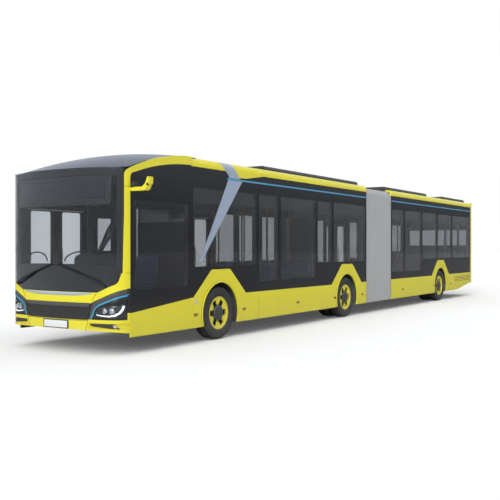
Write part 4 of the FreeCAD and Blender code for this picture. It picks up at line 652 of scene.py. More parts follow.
def foil(name, outline):
    """A thin foil on the left side, cut from a sheet along the straight lines of an outline."""
    ys = [y for y, z in outline]
    zs = [z for y, z in outline]
    middle = Vector((0, sum(ys) / len(ys), sum(zs) / len(zs)))
    let_go()
    bpy.ops.mesh.primitive_plane_add(size=20, location=middle, rotation=(0, math.pi / 2, 0))
    piece = bpy.context.object
    piece.name = name
    set_in()
    at_work(piece)
    for here, there in zip(outline, outline[1:] + outline[:1]):
        here, there = Vector((0, *here)), Vector((0, *there))
        away = (there - here).cross(Vector((1, 0, 0))).normalized()
        if away.dot(here - middle) < 0:
            away.negate()
        bpy.ops.mesh.select_all(action="SELECT")
        bpy.ops.mesh.bisect(plane_co=here, plane_no=away, clear_outer=True)
    for step in range(7):
        bpy.ops.mesh.select_all(action="SELECT")
        bpy.ops.mesh.bisect(plane_co=(0, 0, COVE_START + step * COVE_STEP), plane_no=(0, 0, 1))
    bpy.ops.object.mode_set(mode="OBJECT")
    for vertex in piece.data.vertices:
        rise = min(max(vertex.co.z - COVE_START, 0) / COVE, 1)
        vertex.co.x = SIDE + FOIL / 2 - COVE * (1 - math.sqrt(1 - rise * rise))
    thicken(piece, FOIL)
    return piece


def both_sides(piece, body, finish, slot):
    """Mounts a left-side piece and its copy on the right."""
    other = copy_of(piece, "right_" + piece.name, turn=True)
    piece.name = "left_" + piece.name
    mount(piece, body, finish, slot)
    mount(other, body, finish, slot)


blue_foil = filmed("blue_foil", (0.08, 0.32, 0.54), 0.3, 0.2, 0.9, 500, 0.02)
silver_foil = filmed("silver_foil", (0.40, 0.47, 0.60), 0.35, 0.2, 0.9, 900, 0.05, {"Metallic": 0.25})
yellow_foil = filmed("yellow_foil", yellow, 0.32, 0.2, 0.9, 650, 0.02, {"Coat Weight": 0.3})
for name, finish, outline in (
    ("slash_top", silver_foil, [(-6.272, 3.213), (-5.890, 3.213), (-5.639, 2.970), (-5.975, 2.970)]),
    ("slash_fold", silver_foil, [(-5.975, 2.970), (-5.639, 2.970), (-5.605, 2.938), (-5.985, 2.938)]),
    ("slash_blade", silver_foil, [(-6.000, 2.898), (-5.541, 2.898), (-6.805, 1.420), (-6.867, 1.420)]),
    ("wedge", yellow_foil, [(-5.740, 3.060), (-5.632, 2.962), (-5.397, 2.968), (-4.760, 3.060)]),
):
    both_sides(foil(name, outline), "front_car", finish, "body_paint")
line_foot = 2.902
line_top = 2.933
for body, start, end in (("front_car", -6.03, 0.060), ("rear_car", 1.690, 8.80)):
    outline = [(start, line_foot), (end, line_foot), (end, line_top), (start, line_top)]
    line = foil(f"{body}_line", outline)
    both_sides(line, body, blue_foil, "body_paint")


# Joints of the side wall. Black sealant fills the gaps between the panes and panels, and stands out
# of them as thin raised beads.
sealant = filmed("sealant", (0.008, 0.008, 0.009), 0.85, 0.5, 1.0, 500, 0.3)


def block(name, low, high, body, finish, slot, edge=0.004, steps=2):
    """A rounded block between two corners, mounted on a body."""
    return mount(slab(name, low, high, edge, steps), body, finish, slot)


def strip(name, low, high, body, finish, slot):
    """A thin flat strip that lies on a face, with its edges just broken."""
    block(name, low, high, body, finish, slot, 0.0006, 1)


BEAD_INSIDE = 1.2742
BEAD_OUTSIDE = 1.2757
front_joints = [
    (-7.105, -7.101, 0.82, 2.752), (-7.161, -7.157, 2.75, 3.06), (-4.995, -4.990, 0.82, 2.752),
    (-4.173, -4.168, 0.82, 2.752), (-2.661, -2.656, 1.30, 2.752), (-2.483, -2.478, 1.30, 2.752),
    (-1.792, -1.787, 1.30, 2.752), (-7.161, 0.062, 2.748, 2.753), (-8.60, -7.101, 2.404, 2.409),
    (-8.60, -7.161, 2.748, 2.753),
]
rear_joints = [
    (2.663, 2.668, 0.82, 2.752), (4.097, 4.102, 0.82, 2.752), (6.30, 6.305, 0.82, 2.752),
    (7.60, 7.605, 0.82, 2.752), (1.69, 8.72, 2.748, 2.753),
]
for body, joints in (("front_car", front_joints), ("rear_car", rear_joints)):
    for number, (y0, y1, z0, z1) in enumerate(joints, start=1):
        low, high = (BEAD_INSIDE, y0, z0), (BEAD_OUTSIDE, y1, z1)
        strip(f"{body}_bead_{number}", low, high, body, sealant, "black_gloss")


# Skirt trim. Each wheel arch has a lip rolled outwards from the panel, and the hinged panels meet in
# a thin joint.
arch_section = [
    (1.268, 0.552), (1.268, 0.570), (1.276, 0.574), (1.283, 0.571), (1.287, 0.563), (1.284, 0.555),
    (1.277, 0.551),
]
SKIRT_FOOT = 0.286

for car, y in axle_places.items():
    lip = moved(spun(f"{car}_arch_lip", arch_section, 120), (0, y, axle_height))
    at_work(lip)
    bpy.ops.mesh.bisect(
        plane_co=(0, 0, SKIRT_FOOT), plane_no=(0, 0, 1), clear_inner=True, use_fill=True
    )
    done()
    smooth(lip, 50)
    both_sides(lip, "rear_car" if car == "rear" else "front_car", body_paint, "body_paint")
bead = slab("skirt_joint", (1.2742, -4.978, 0.300), (1.2755, -4.974, 0.790), 0.0006, 1)
both_sides(bead, "front_car", sealant, "black_gloss")


# Marker lamps, round lens and louvres of the skirts. Amber lenses on black bases are pressed into the
# panels, and the tail has cooling slots with folded lips. The slots are flat black strips between the
# lips, painted shade in place of open slots.
amber = filmed("amber_lens", (0.45, 0.16, 0.01), 0.15, 0.3, 0.9, 60, 0.3, {"Coat Weight": 0.5})
base_plastic = filmed("lamp_base", (0.02, 0.02, 0.022), 0.5, 0.5, 0.9, 300, 0.2)
base = slab("marker_base", (1.270, -0.052, -0.024), (1.279, 0.052, 0.024), 0.003)
lens = slab("marker_lens", (1.272, -0.043, -0.016), (1.284, 0.043, 0.016), 0.005, 3)
marker_height = 0.50
marker_places = (-6.980, -5.473, -3.410, -1.680, -0.162, 2.503, 5.079, 6.602)
across_a_door = (-3.410, 2.503)
for number, y in enumerate(marker_places, start=1):
    body = "front_car" if y < 0 else "rear_car"
    for piece, finish, slot in ((base, base_plastic, "dark_plastic"), (lens, amber, "lamp_red")):
        fitted = copy_of(piece, f"{piece.name}_{number}", (0, y, marker_height))
        if y in across_a_door:
            mount(fitted, body, finish, slot)
        else:
            both_sides(fitted, body, finish, slot)
for piece in (base, lens):
    bpy.data.objects.remove(piece)

eye = spun(
    "side_eye_left",
    [(1.268, 0.0005), (1.268, 0.040), (1.279, 0.040), (1.281, 0.036), (1.281, 0.030), (1.278, 0.028),
     (1.280, 0.015), (1.281, 0.0005)],
    40, 35,
)
pale_lens = filmed("pale_lens", (0.62, 0.55, 0.52), 0.2, 0.3, 0.9, 100, 0.2, {"Coat Weight": 0.5})
mount(moved(eye, (0, -6.985, 0.736)), "front_car", pale_lens, "lamp_clear")

# Black finish for recesses and lenses, and painted shade for cooling slots drawn as flat strips.
black_and_slot_shade = filmed("black_and_slot_shade", (0.01, 0.01, 0.01), 0.7, 0.6, 1.0, 200, 0.2)
for number in range(4):
    z = 0.556 + number * 0.046
    # Painted shade: each slot is a flat black strip on the panel, not an opening.
    gap = slab(f"louvre_gap_{number}", (1.2735, 7.02, z), (1.2758, 8.68, z + 0.014), 0.001, 1)
    both_sides(gap, "rear_car", black_and_slot_shade, "dark_plastic")
    lip = slab(f"louvre_lip_{number}", (1.2725, 7.01, z + 0.014), (1.2815, 8.69, z + 0.023), 0.003, 2)
    both_sides(lip, "rear_car", body_paint, "body_paint")


# Nose surface. The front is one wide arc with a tight arc at each corner. Its trim is made flat and
# bent round it, as pressed panels are; first come the seams and yellow feet of the pillars.
NOSE_WIDE = 4.5
NOSE_TIGHT = 0.3
NOSE_FRONT = -9.005
tight_x = SIDE - NOSE_TIGHT
tight_y = NOSE_FRONT + NOSE_WIDE - math.sqrt((NOSE_WIDE - NOSE_TIGHT) ** 2 - tight_x ** 2)
meet = math.asin(tight_x / (NOSE_WIDE - NOSE_TIGHT))
meet_run = meet * NOSE_WIDE
corner_run = meet_run + (math.pi / 2 - meet) * NOSE_TIGHT


def run_at(x):
    """Distance along the nose from its middle to a place x across."""
    size = min(abs(x), SIDE)
    if size < math.sin(meet) * NOSE_WIDE:
        run = math.asin(size / NOSE_WIDE) * NOSE_WIDE
    else:
        run = meet_run + (math.asin(min((size - tight_x) / NOSE_TIGHT, 1)) - meet) * NOSE_TIGHT
    return math.copysign(run, x)


def side_run(y):
    """Distance along the nose to a place on the side behind it."""
    return corner_run + y - tight_y


def on_nose(run, out):
    """The point at a distance along the nose, and out from its surface."""
    size = abs(run)
    if size < meet_run:
        turn = size / NOSE_WIDE
        x = (NOSE_WIDE + out) * math.sin(turn)
        y = NOSE_FRONT + NOSE_WIDE - (NOSE_WIDE + out) * math.cos(turn)
    elif size < corner_run:
        turn = meet + (size - meet_run) / NOSE_TIGHT
        x = tight_x + (NOSE_TIGHT + out) * math.sin(turn)
        y = tight_y - (NOSE_TIGHT + out) * math.cos(turn)
    else:
        x = SIDE + out
        y = tight_y + size - corner_run
    return math.copysign(x, run), y


NOSE_SLICE = 0.035


def across(*outline):
    """Turns (x, z) points into distances along the nose."""
    return [(run_at(x), z) for x, z in outline]


def nose_sheet(name, outline, depth, out, finish, slot, edge=0.0, steps=2, corners=0.0, side=1):
    """Mounts a sheet in front of the nose, from (distance along, z) points of the left side."""
    outline = [(along * side, z) for along, z in outline]
    let_go()
    bpy.ops.mesh.primitive_circle_add(vertices=len(outline), fill_type="NGON")
    piece = bpy.context.object
    piece.name = name
    for vertex, (along, z) in zip(piece.data.vertices, outline):
        vertex.co = (along, 0, z)
    at_work(piece)
    if corners:
        bpy.ops.mesh.select_mode(type="VERT")
        bpy.ops.mesh.select_all(action="SELECT")
        bpy.ops.mesh.bevel(offset=corners, segments=4, affect="VERTICES")
    low = min(along for along, z in outline)
    high = max(along for along, z in outline)
    slices = int((high - low) / NOSE_SLICE)
    for step in range(1, slices + 1):
        bpy.ops.mesh.select_all(action="SELECT")
        place = low + (high - low) * step / (slices + 1)
        bpy.ops.mesh.bisect(plane_co=(place, 0, 0), plane_no=(1, 0, 0))
    bpy.ops.object.mode_set(mode="OBJECT")
    thicken(piece, depth)
    if edge:
        ease(piece, edge, steps, 50)
    for vertex in piece.data.vertices:
        vertex.co = (*on_nose(vertex.co.x, out - vertex.co.y), vertex.co.z)
    smooth(piece, 40)
    return mount(piece, "front_car", finish, slot)


SEAM = 0.002
SEAM_OUT = 0.0004
SEAM_WIDTH = 0.005
for side, word in SIDES:
    for number, z in enumerate((1.268, 2.600), start=1):
        near, far = run_at(1.226), side_run(-8.640)
        top = z + SEAM_WIDTH
        nose_sheet(
            f"pillar_seam_{word}_{number}", [(near, z), (far, z), (far, top), (near, top)],
            SEAM, SEAM_OUT, sealant, "black_gloss", side=side,
        )
    nose_sheet(
        f"pillar_foot_{word}",
        across((1.2245, 1.270), (1.250, 1.270), (1.250, 2.300), (1.2385, 2.300)),
        0.003, 0.0008, body_paint, "body_paint", side=side,
    )


# Front panel. A dark moulded panel between the headlamps with a lighter sloped top, under a yellow
# band and a bright strip that narrows to both ends. The panel is plain.
grille_paint = filmed("grille_paint", (0.028, 0.028, 0.03), 0.35, 0.3, 0.9, 400, 0.1)
dress(grille_paint, "front_grille")
slope_paint = filmed("slope_paint", (0.075, 0.075, 0.08), 0.45, 0.3, 0.9, 400, 0.1)
nose_sheet(
    "grille_slope", [(-0.722, 0.800), (0.722, 0.800), (0.700, 0.738), (-0.700, 0.738)],
    0.012, -0.004, slope_paint, "black_gloss", 0.003,
)
for number, z in enumerate((0.560, 0.600, 0.640, 0.680), start=1):
    nose_sheet(
        f"grille_rib_{number}",
        [(-0.650, z + 0.006), (0.650, z + 0.006), (0.648, z - 0.006), (-0.648, z - 0.006)],
        0.006, -0.009, grille_paint, "black_gloss", 0.002,
    )
strip_finish = filmed("strip_chrome", (0.72, 0.80, 0.86), 0.22, 0.2, 0.9, 300, 0.02, {"Metallic": 0.6})
nose_sheet(
    "bright_strip",
    [(-0.790, 0.960), (0.790, 0.960), (0.715, 0.934), (0.40, 0.908), (-0.40, 0.908), (-0.715, 0.934)],
    0.008, 0.001, strip_finish, "frame_metal", 0.002,
)
for side, word in SIDES:
    nose_sheet(
        f"mask_seam_{word}", across((0.843, 0.972), (0.849, 0.970), (0.765, 0.842), (0.758, 0.843)),
        SEAM, SEAM_OUT, sealant, "black_gloss", side=side,
    )
nose_sheet(
    "bumper_seam", [(-0.69, 0.530), (0.69, 0.530), (0.69, 0.525), (-0.69, 0.525)],
    SEAM, SEAM_OUT, sealant, "black_gloss",
)


# Number plate. A blank white plate of pressed aluminium, clipped in a black plastic holder that is
# screwed to the bumper a little to the left of its middle.
plate_white = filmed("plate_white", (0.78, 0.80, 0.80), 0.35, 0.3, 0.9, 500, 0.05)
nose_sheet(
    "plate_holder", [(-0.256, 0.522), (0.304, 0.522), (0.304, 0.388), (-0.256, 0.388)],
    0.012, 0.006, base_plastic, "dark_plastic", 0.003, 2, 0.012,
)
nose_sheet(
    "plate", [(-0.236, 0.510), (0.284, 0.510), (0.284, 0.400), (-0.236, 0.400)],
    0.003, 0.0135, plate_white, "lamp_clear", 0.001, 2, 0.008,
)


# Headlamps. A clear cover over a black housing with two reflectors, a white light bar along the
# lower and outer edges, and a light blue line round the top and inner edges.
housing_finish = filmed("lamp_housing", (0.022, 0.023, 0.026), 0.25, 0.3, 0.9, 500, 0.05)
chrome = filmed("lamp_chrome", (0.75, 0.77, 0.80), 0.12, 0.1, 0.9, 200, 0.03, {"Metallic": 1.0})
light_bar = filmed(
    "light_bar", (0.90, 0.92, 0.95), 0.3, 0.1, 0.9, 200, 0.03,
    {"Emission Color": (0.9, 0.95, 1, 1), "Emission Strength": 0.9},
)
line_blue = filmed("line_blue", (0.06, 0.33, 0.52), 0.25, 0.1, 0.9, 500, 0.02, {"Coat Weight": 0.5})
cover_glass = glass("lamp_cover", (0.80, 0.83, 0.86), 0.003, 0.3)
lamp_end = side_run(-8.684)
strip_end = side_run(-8.637)


def slant(start_x, start_z, end_z):
    """Places along a straight rising line from a start to the end of the lamp on the side."""
    places = [
        (x, start_z + (end_z - start_z) * (x - start_x) / (SIDE - start_x))
        for x in (start_x, 1.02, 1.14, 1.21, 1.25, 1.268)
    ]
    return across(*places) + [(lamp_end, end_z)]


lens_top = across((0.899, 0.738), (1.197, 0.775), (1.249, 0.788))
lens_low = across((1.230, 0.673), (1.157, 0.605), (1.030, 0.595), (0.808, 0.618))
bar_centre = [
    (0.835, 0.624), (0.94, 0.608), (1.05, 0.604), (1.14, 0.618), (1.195, 0.655), (1.222, 0.705),
    (1.236, 0.765),
]
bar_half = (0.006, 0.009, 0.011, 0.013, 0.013, 0.012, 0.008)
bar_upper, bar_lower = [], []
for number, (centre, half) in enumerate(zip(bar_centre, bar_half)):
    near = Vector(bar_centre[max(number - 1, 0)])
    far = Vector(bar_centre[min(number + 1, len(bar_centre) - 1)])
    aside = Vector((near.y - far.y, far.x - near.x)).normalized() * half
    bar_upper.append(tuple(Vector(centre) + aside))
    bar_lower.append(tuple(Vector(centre) - aside))

lamp_parts = (
    ("lamp_brow",
     across((0.698, 0.552)) + slant(0.766, 0.812, 1.024) + slant(0.872, 0.786, 0.949)[::-1]
     + across((0.798, 0.728), (0.722, 0.552)),
     0.022, -0.013, slope_paint, "black_gloss", 0.003),
    ("lamp_line",
     across((0.724, 0.554), (0.801, 0.724)) + slant(0.872, 0.782, 0.945)
     + slant(0.879, 0.755, 0.917)[::-1] + across((0.819, 0.708), (0.750, 0.554)),
     0.012, -0.002, line_blue, "body_paint", 0.003),
    ("lamp_surround",
     across((0.752, 0.553), (0.821, 0.706)) + slant(0.881, 0.752, 0.914) + [(lamp_end, 0.790)]
     + lens_top[::-1] + across((0.808, 0.618)),
     0.020, -0.014, housing_finish, "dark_plastic", 0.003),
    ("lamp_sill",
     across((0.752, 0.551)) + [(lamp_end, 0.551), (lamp_end, 0.789)] + across((1.249, 0.787))
     + lens_low,
     0.020, -0.014, housing_finish, "dark_plastic", 0.003),
    ("light_bar", across(*bar_upper, *bar_lower[::-1]),
     0.012, -0.008, light_bar, "lamp_clear", 0.003),
    ("lamp_cover", lens_top + lens_low,
     0.003, -0.001, cover_glass, "lamp_clear", 0.001),
    ("lamp_bridge", across((0.662, 0.541), (0.702, 0.549), (0.770, 0.811), (0.734, 0.801)),
     0.003, 0.0008, housing_finish, "black_gloss", 0.001),
    ("lamp_end",
     [(lamp_end - 0.004, 0.655), (strip_end, 0.655), (strip_end, 1.030), (lamp_end - 0.004, 1.030)],
     0.003, 0.0008, housing_finish, "black_gloss", 0.001),
    ("bumper_cut", across((0.684, 0.536), (0.690, 0.536), (0.640, 0.350), (0.634, 0.350)),
     SEAM, SEAM_OUT, sealant, "black_gloss", 0),
)

reflector = spun(
    "reflector",
    [(0.000, 0.0005), (0.002, 0.020), (0.012, 0.038), (0.030, 0.046), (0.030, 0.050), (0.008, 0.042),
     (-0.003, 0.022), (-0.006, 0.0005)],
    32, 35,
)
take(reflector)
bpy.ops.transform.rotate(value=-math.pi / 2, orient_axis="Z", center_override=(0, 0, 0))
set_in()

for side, word in SIDES:
    housing = nose_sheet(
        f"lamp_housing_{word}",
        across((0.698, 0.550)) + [(lamp_end, 0.550)] + slant(0.766, 0.812, 1.024)[::-1],
        0.008, -0.028, housing_finish, "dark_plastic", 0.002, side=side,
    )
    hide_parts("headlamps")
    for part, outline, depth, out, finish, slot, edge in lamp_parts:
        nose_sheet(f"{part}_{word}", outline, depth, out, finish, slot, edge, side=side)
    for number, (x, z) in enumerate(((0.965, 0.682), (1.085, 0.690)), start=1):
        x, y = on_nose(run_at(x * side), -0.022)
        bowl = copy_of(reflector, f"reflector_{word}_{number}", (x, y - 0.012, z))
        at_work(bowl)
        done()
        mount(bowl, "front_car", chrome, "lamp_clear")
bpy.data.objects.remove(reflector)


# Fog lamp slots. Recesses moulded in black in the yellow bumper, each with a small clear lamp set in
# near its outer end.
for side, word in SIDES:
    nose_sheet(
        f"fog_recess_{word}",
        across((0.712, 0.462), (0.740, 0.484), (1.130, 0.488), (1.205, 0.408), (1.060, 0.418),
               (0.760, 0.440)),
        0.004, -0.012, black_and_slot_shade, "dark_plastic", 0.001, side=side,
    )
    nose_sheet(
        f"fog_lamp_{word}", across((1.110, 0.470), (1.150, 0.468), (1.178, 0.430), (1.130, 0.426)),
        0.010, -0.006, pale_lens, "lamp_clear", 0.003, 3, 0.008, side=side,
    )


# Windscreen print and display. A black ceramic band on the inside of the glass hides the bonding and
# the lower dash, and a plain dark display housing hangs behind the top.
print_black = filmed("ceramic_print", (0.012, 0.012, 0.013), 0.4, 0.1, 0.9, 500, 0.02)
low_band = across(
    (-0.840, 0.975), (0.840, 0.975), (1.150, 1.115), (1.205, 1.225), (1.212, 1.330), (1.150, 1.375),
    (0.70, 1.400), (0, 1.408), (-0.70, 1.400), (-1.150, 1.375), (-1.212, 1.330), (-1.205, 1.225),
    (-1.150, 1.115),
)
top_band = across((-1.19, 2.790), (1.19, 2.790), (1.19, 2.885), (-1.19, 2.885))
side_band = across((1.165, 1.37), (1.214, 1.33), (1.214, 2.80), (1.165, 2.80))
for part, outline, side in (
    ("low", low_band, 1), ("left", side_band, 1), ("right", side_band, -1), ("top", top_band, 1),
):
    nose_sheet(
        f"screen_print_{part}", outline, 0.002, -0.015, print_black, "black_gloss", side=side
    )
display_paint = filmed("display_housing", (0.035, 0.038, 0.043), 0.45, 0.1, 0.9, 400, 0.1)
nose_sheet(
    "display_housing", across((-1.05, 2.330), (1.05, 2.330), (1.08, 2.760), (-1.08, 2.760)),
    0.060, -0.085, display_paint, "dark_plastic", 0.010, 3, 0.02,
)
display_finish = filmed("display_face", (0.022, 0.025, 0.03), 0.25, 0.1, 0.9, 400, 0.03)
nose_sheet(
    "display_face", across((-0.96, 2.420), (0.96, 2.420), (0.96, 2.700), (-0.96, 2.700)),
    0.006, -0.052, display_finish, "dark_plastic", 0.002, 2, 0.01,
)


# Nose cap. One large moulding over the front of the roof, above the windscreen, bonded to the roof
# frame and painted in a glossy dark blue-grey.
cap_gloss = filmed(
    "cap_gloss", (0.030, 0.035, 0.050), 0.18, 0.3, 0.9, 500, 0.015, {"Specular IOR Level": 0.5}
)
dress(cap_gloss, "nose_cap")


# Wipers. Folded steel arms with a link turn on round pivots low at the corners, and press rubber
# blades, held in a spine, on the glass.
def nose_bar(name, side, first, second, width, depth, out, finish):
    """Mounts a straight bar between two (x, z) places in front of the glass."""
    first, second = Vector(first), Vector(second)
    aside = Vector((-(second - first).y, (second - first).x)).normalized() * width / 2
    corners = [first - aside, second - aside * 0.75, second + aside * 0.75, first + aside]
    nose_sheet(name, across(*corners), depth, out, finish, "dark_plastic", 0.003, side=side)


wiper_black = filmed("wiper_black", (0.018, 0.018, 0.02), 0.45, 0.3, 0.9, 400, 0.1)
pivot_x = 0.985
pivot_z = 1.072
wiper_bars = (
    ("blade", (0.060, 1.400), (0.890, 1.140), 0.016, 0.022, 0.014, rubber),
    ("spine", (0.075, 1.397), (0.875, 1.147), 0.026, 0.008, 0.029, wiper_black),
    ("arm", (0.475, 1.272), (pivot_x, pivot_z), 0.026, 0.010, 0.040, wiper_black),
    ("link", (0.500, 1.245), (0.965, 1.058), 0.010, 0.008, 0.038, wiper_black),
)
for side, word in SIDES:
    for part, *sizes in wiper_bars:
        nose_bar(f"wiper_{part}_{word}", side, *sizes)
    boss = spun(
        f"wiper_boss_{word}",
        [(0, 0.0005), (0, 0.024), (0.030, 0.022), (0.036, 0.016), (0.037, 0.0005)], 28,
    )
    x, y = on_nose(run_at(pivot_x * side), 0)
    for vertex in boss.data.vertices:
        vertex.co = (x + vertex.co.z, y - vertex.co.x - 0.002, pivot_z + vertex.co.y)
    at_work(boss)
    done()
    smooth(boss)
    mount(boss, "front_car", wiper_black, "dark_plastic")
    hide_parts("wipers")


# Camera arms. A moulded yellow hook on a dark foot is bolted to each side, and carries two small
# rear-view cameras in place of a mirror. The right one stands further back, above the first door.
for side, word, y in ((1, "left", -8.635), (-1, "right", -8.210)):
    for part, low, high, finish, edge in (
        ("foot", (1.268, y - 0.008, 2.578), (1.352, y + 0.108, 2.672), base_plastic, 0.022),
        ("lens", (1.592, y - 0.004, 2.604), (1.630, y + 0.030, 2.646), base_plastic, 0.008),
        ("eye", (1.595, y + 0.070, 2.606), (1.627, y + 0.104, 2.640), black_and_slot_shade, 0.008),
    ):
        piece = slab("camera_part", low, high, edge, 3)
        fitted = copy_of(piece, f"camera_{part}_{word}", turn=side < 0)
        mount(fitted, "front_car", finish, "dark_plastic")
        bpy.data.objects.remove(piece)


# Bellows. Coated cloth sewn in deep pleats over aluminium hoops, clamped to a frame on each car.
cloth_grey = (0.46, 0.465, 0.47)
cloth, gets, gives = effect(
    "coated_cloth",
    [("Color", COLOUR, (*cloth_grey, 1)), ("Dirt", COLOUR, (0.2, 0.2, 0.19, 1)),
     ("Amount", NUMBER, 0.25)],
    [("Color", COLOUR), ("Roughness", NUMBER), ("Normal", ARROW)],
)
place = on_piece(cloth)
long_way = add(cloth, "Mapping", {"Vector": place, "Scale": (3, 10, 0.6)})
streak = add(cloth, "TexNoise", {"Vector": long_way["Vector"], "Scale": 2.5, "Detail": 6})
warp = add(cloth, "TexWave", {"Vector": place, "Scale": 260}, bands_direction="Z")
weft = add(cloth, "TexWave", {"Vector": place, "Scale": 260}, bands_direction="Y")
crossing = reckon(cloth, "ADD", warp["Fac"], weft["Fac"])
weave = add(cloth, "Bump", {"Height": crossing, "Strength": 0.15, "Distance": 0.001})
soil = reckon(cloth, "MULTIPLY", streak["Fac"], gets["Amount"])
grip = add(cloth, "MapRange", {"Value": streak["Fac"], "To Min": 0.7, "To Max": 0.9})
join(
    cloth, (tint(cloth, soil, gets["Color"], gets["Dirt"]), gives["Color"]),
    (grip["Result"], gives["Roughness"]), (weave["Normal"], gives["Normal"]),
)
bellows_cloth = new_finish("bellows_cloth", cloth_grey, 0.8)
lay(
    bellows_cloth, cloth, {"Color": "Base Color", "Roughness": "Roughness", "Normal": "Normal"},
    {"Color": (*cloth_grey, 1)},
)

cloth_start = 0.105
cloth_side = 1.262
cloth_foot = 0.275
cloth_top = 3.172
cloth_middle = 1.45
cloth_rise = 1.722
cloth_run = 1.540
pleats = 32
pitch = cloth_run / pleats
fold = 0.034
shrink = (1 - fold / cloth_side, 1, 1 - fold / cloth_rise)
grow = [1 / factor for factor in shrink]

let_go()
bpy.ops.mesh.primitive_plane_add(size=1, location=(0, 0, 0), rotation=(math.pi / 2, 0, 0))
bellows = bpy.context.object
bellows.name = "pleated_bellows"
set_in()
for vertex in bellows.data.vertices:
    z = cloth_top if vertex.co.z > 0 else cloth_foot
    vertex.co = (math.copysign(cloth_side, vertex.co.x), cloth_start, z)
at_work(bellows, kind="EDGE")
bpy.ops.mesh.delete(type="ONLY_FACE")
at_work(bellows, lambda edge: all(bellows.data.vertices[v].co.z < 1 for v in edge.vertices), "EDGE")
bpy.ops.mesh.delete(type="EDGE")
bpy.ops.mesh.select_mode(type="VERT")
bpy.ops.mesh.select_all(action="DESELECT")
bpy.ops.object.mode_set(mode="OBJECT")
for vertex in bellows.data.vertices:
    vertex.select = vertex.co.z > 3
bpy.ops.object.mode_set(mode="EDIT")
bpy.ops.mesh.bevel(offset=0.187, segments=8, affect="VERTICES")
bpy.ops.mesh.select_all(action="SELECT")
for pleat in range(pleats):
    for run, size in ((0.10, None), (0.06, shrink), (0.10, None), (0.06, grow), (0.68, None)):
        bpy.ops.mesh.extrude_region_move(TRANSFORM_OT_translate={"value": (0, pitch * run, 0)})
        if size:
            bpy.ops.transform.resize(value=size, center_override=(0, 0, cloth_middle))
bpy.ops.object.mode_set(mode="OBJECT")
thicken(bellows, 0.004)
smooth(bellows, 50)
bellows.data.materials.append(bellows_cloth)
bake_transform(bellows)
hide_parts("bellows")
frame_metal = filmed("frame_metal", (0.42, 0.43, 0.44), 0.4, 0.5, 0.8, 250, 0.1, {"Metallic": 0.6})
dress(frame_metal, "front_end_frame", "rear_end_frame")


# Doors. Each leaf is a slim black aluminium frame round one tall pane, with a rubber edge where the
# leaves meet and an upright handle inside.
def round_off(piece, pick, width, steps):
    """Rounds the edges that pick accepts."""
    at_work(piece, pick, "EDGE")
    bpy.ops.mesh.bevel(offset=width, segments=steps)
    done()


def through(piece):
    """Picks the edges of a piece that run across the bus."""
    corners = piece.data.vertices
    return lambda edge: abs(
        (corners[edge.vertices[0]].co - corners[edge.vertices[1]].co).x
    ) > 0.01


rail_paint = filmed("rail_paint", (0.34, 0.26, 0.06), 0.35, 0.1, 0.6, 300, 0.05)
door_glass = glass("door_glass", (0.66, 0.68, 0.70), 0.003)
door_places = ((-7.823, "front_car"), (-3.855, "front_car"), (3.358, "rear_car"))
meeting_stile = 0.122
hinge_stile = 0.090
leaf_foot = 0.372
leaf_top = 2.333
handle_ring = [
    (0.014 * math.cos(turn * math.tau / 12), 0.014 * math.sin(turn * math.tau / 12))
    for turn in range(12)
]
handle_path = (
    (0.045, 0, 0.03), (0.01, 0, 0.06), (0, 0, 0.62), (-0.01, 0, 0.06), (-0.045, 0, 0.03),
)
for door, (middle_y, car) in enumerate(door_places, start=1):
    block(
        f"door_{door}_brush", (-1.266, middle_y - 0.690, 2.3365), (-1.244, middle_y + 0.690, 2.3465),
        car, sealant, "tyre_rubber", 0.001, 1,
    )
    for way, word in ((-1, "front"), (1, "rear")):
        body = f"door_{door}_{word}"
        meeting_y = middle_y + 0.007 * way
        low_y, high_y = sorted((meeting_y, middle_y + 0.680 * way))
        low_stile, high_stile = (meeting_stile, hinge_stile)[::way]
        leaf = slab(f"{body}_frame", (-1.274, low_y, leaf_foot), (-1.240, high_y, leaf_top), 0)
        hole = slab("hole", (-1.3, low_y + low_stile, 0.520), (-1.2, high_y - high_stile, 2.305), 0)
        round_off(hole, through(hole), 0.040, 4)
        carve(leaf, hole)
        ease(leaf, 0.003)
        mount(leaf, body, black_paint, "black_gloss")
        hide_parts(f"{body}_leaf")
        block(
            f"{body}_pane", (-1.262, low_y + low_stile - 0.012, 0.508),
            (-1.256, high_y - high_stile + 0.012, 2.317), body, door_glass, "window_glass", 0.001, 1,
        )
        block(
            f"{body}_rubber_edge", (-1.268, meeting_y - 0.0065, 0.375),
            (-1.246, meeting_y + 0.0065, 2.330), body, sealant, "tyre_rubber", 0.005, 3,
        )
        grip_y = meeting_y + way * meeting_stile / 2
        handle = loop(f"{body}_handle", handle_ring)
        for vertex in handle.data.vertices:
            vertex.co = (-1.236 + vertex.co.x * 0.4, grip_y + vertex.co.z, 0.900)
        at_work(handle)
        bpy.ops.mesh.fill()
        for move in handle_path:
            bpy.ops.mesh.extrude_region_move(TRANSFORM_OT_translate={"value": move})
        done()
        smooth(handle, 60)
        mount(handle, body, wiper_black, "dark_plastic")


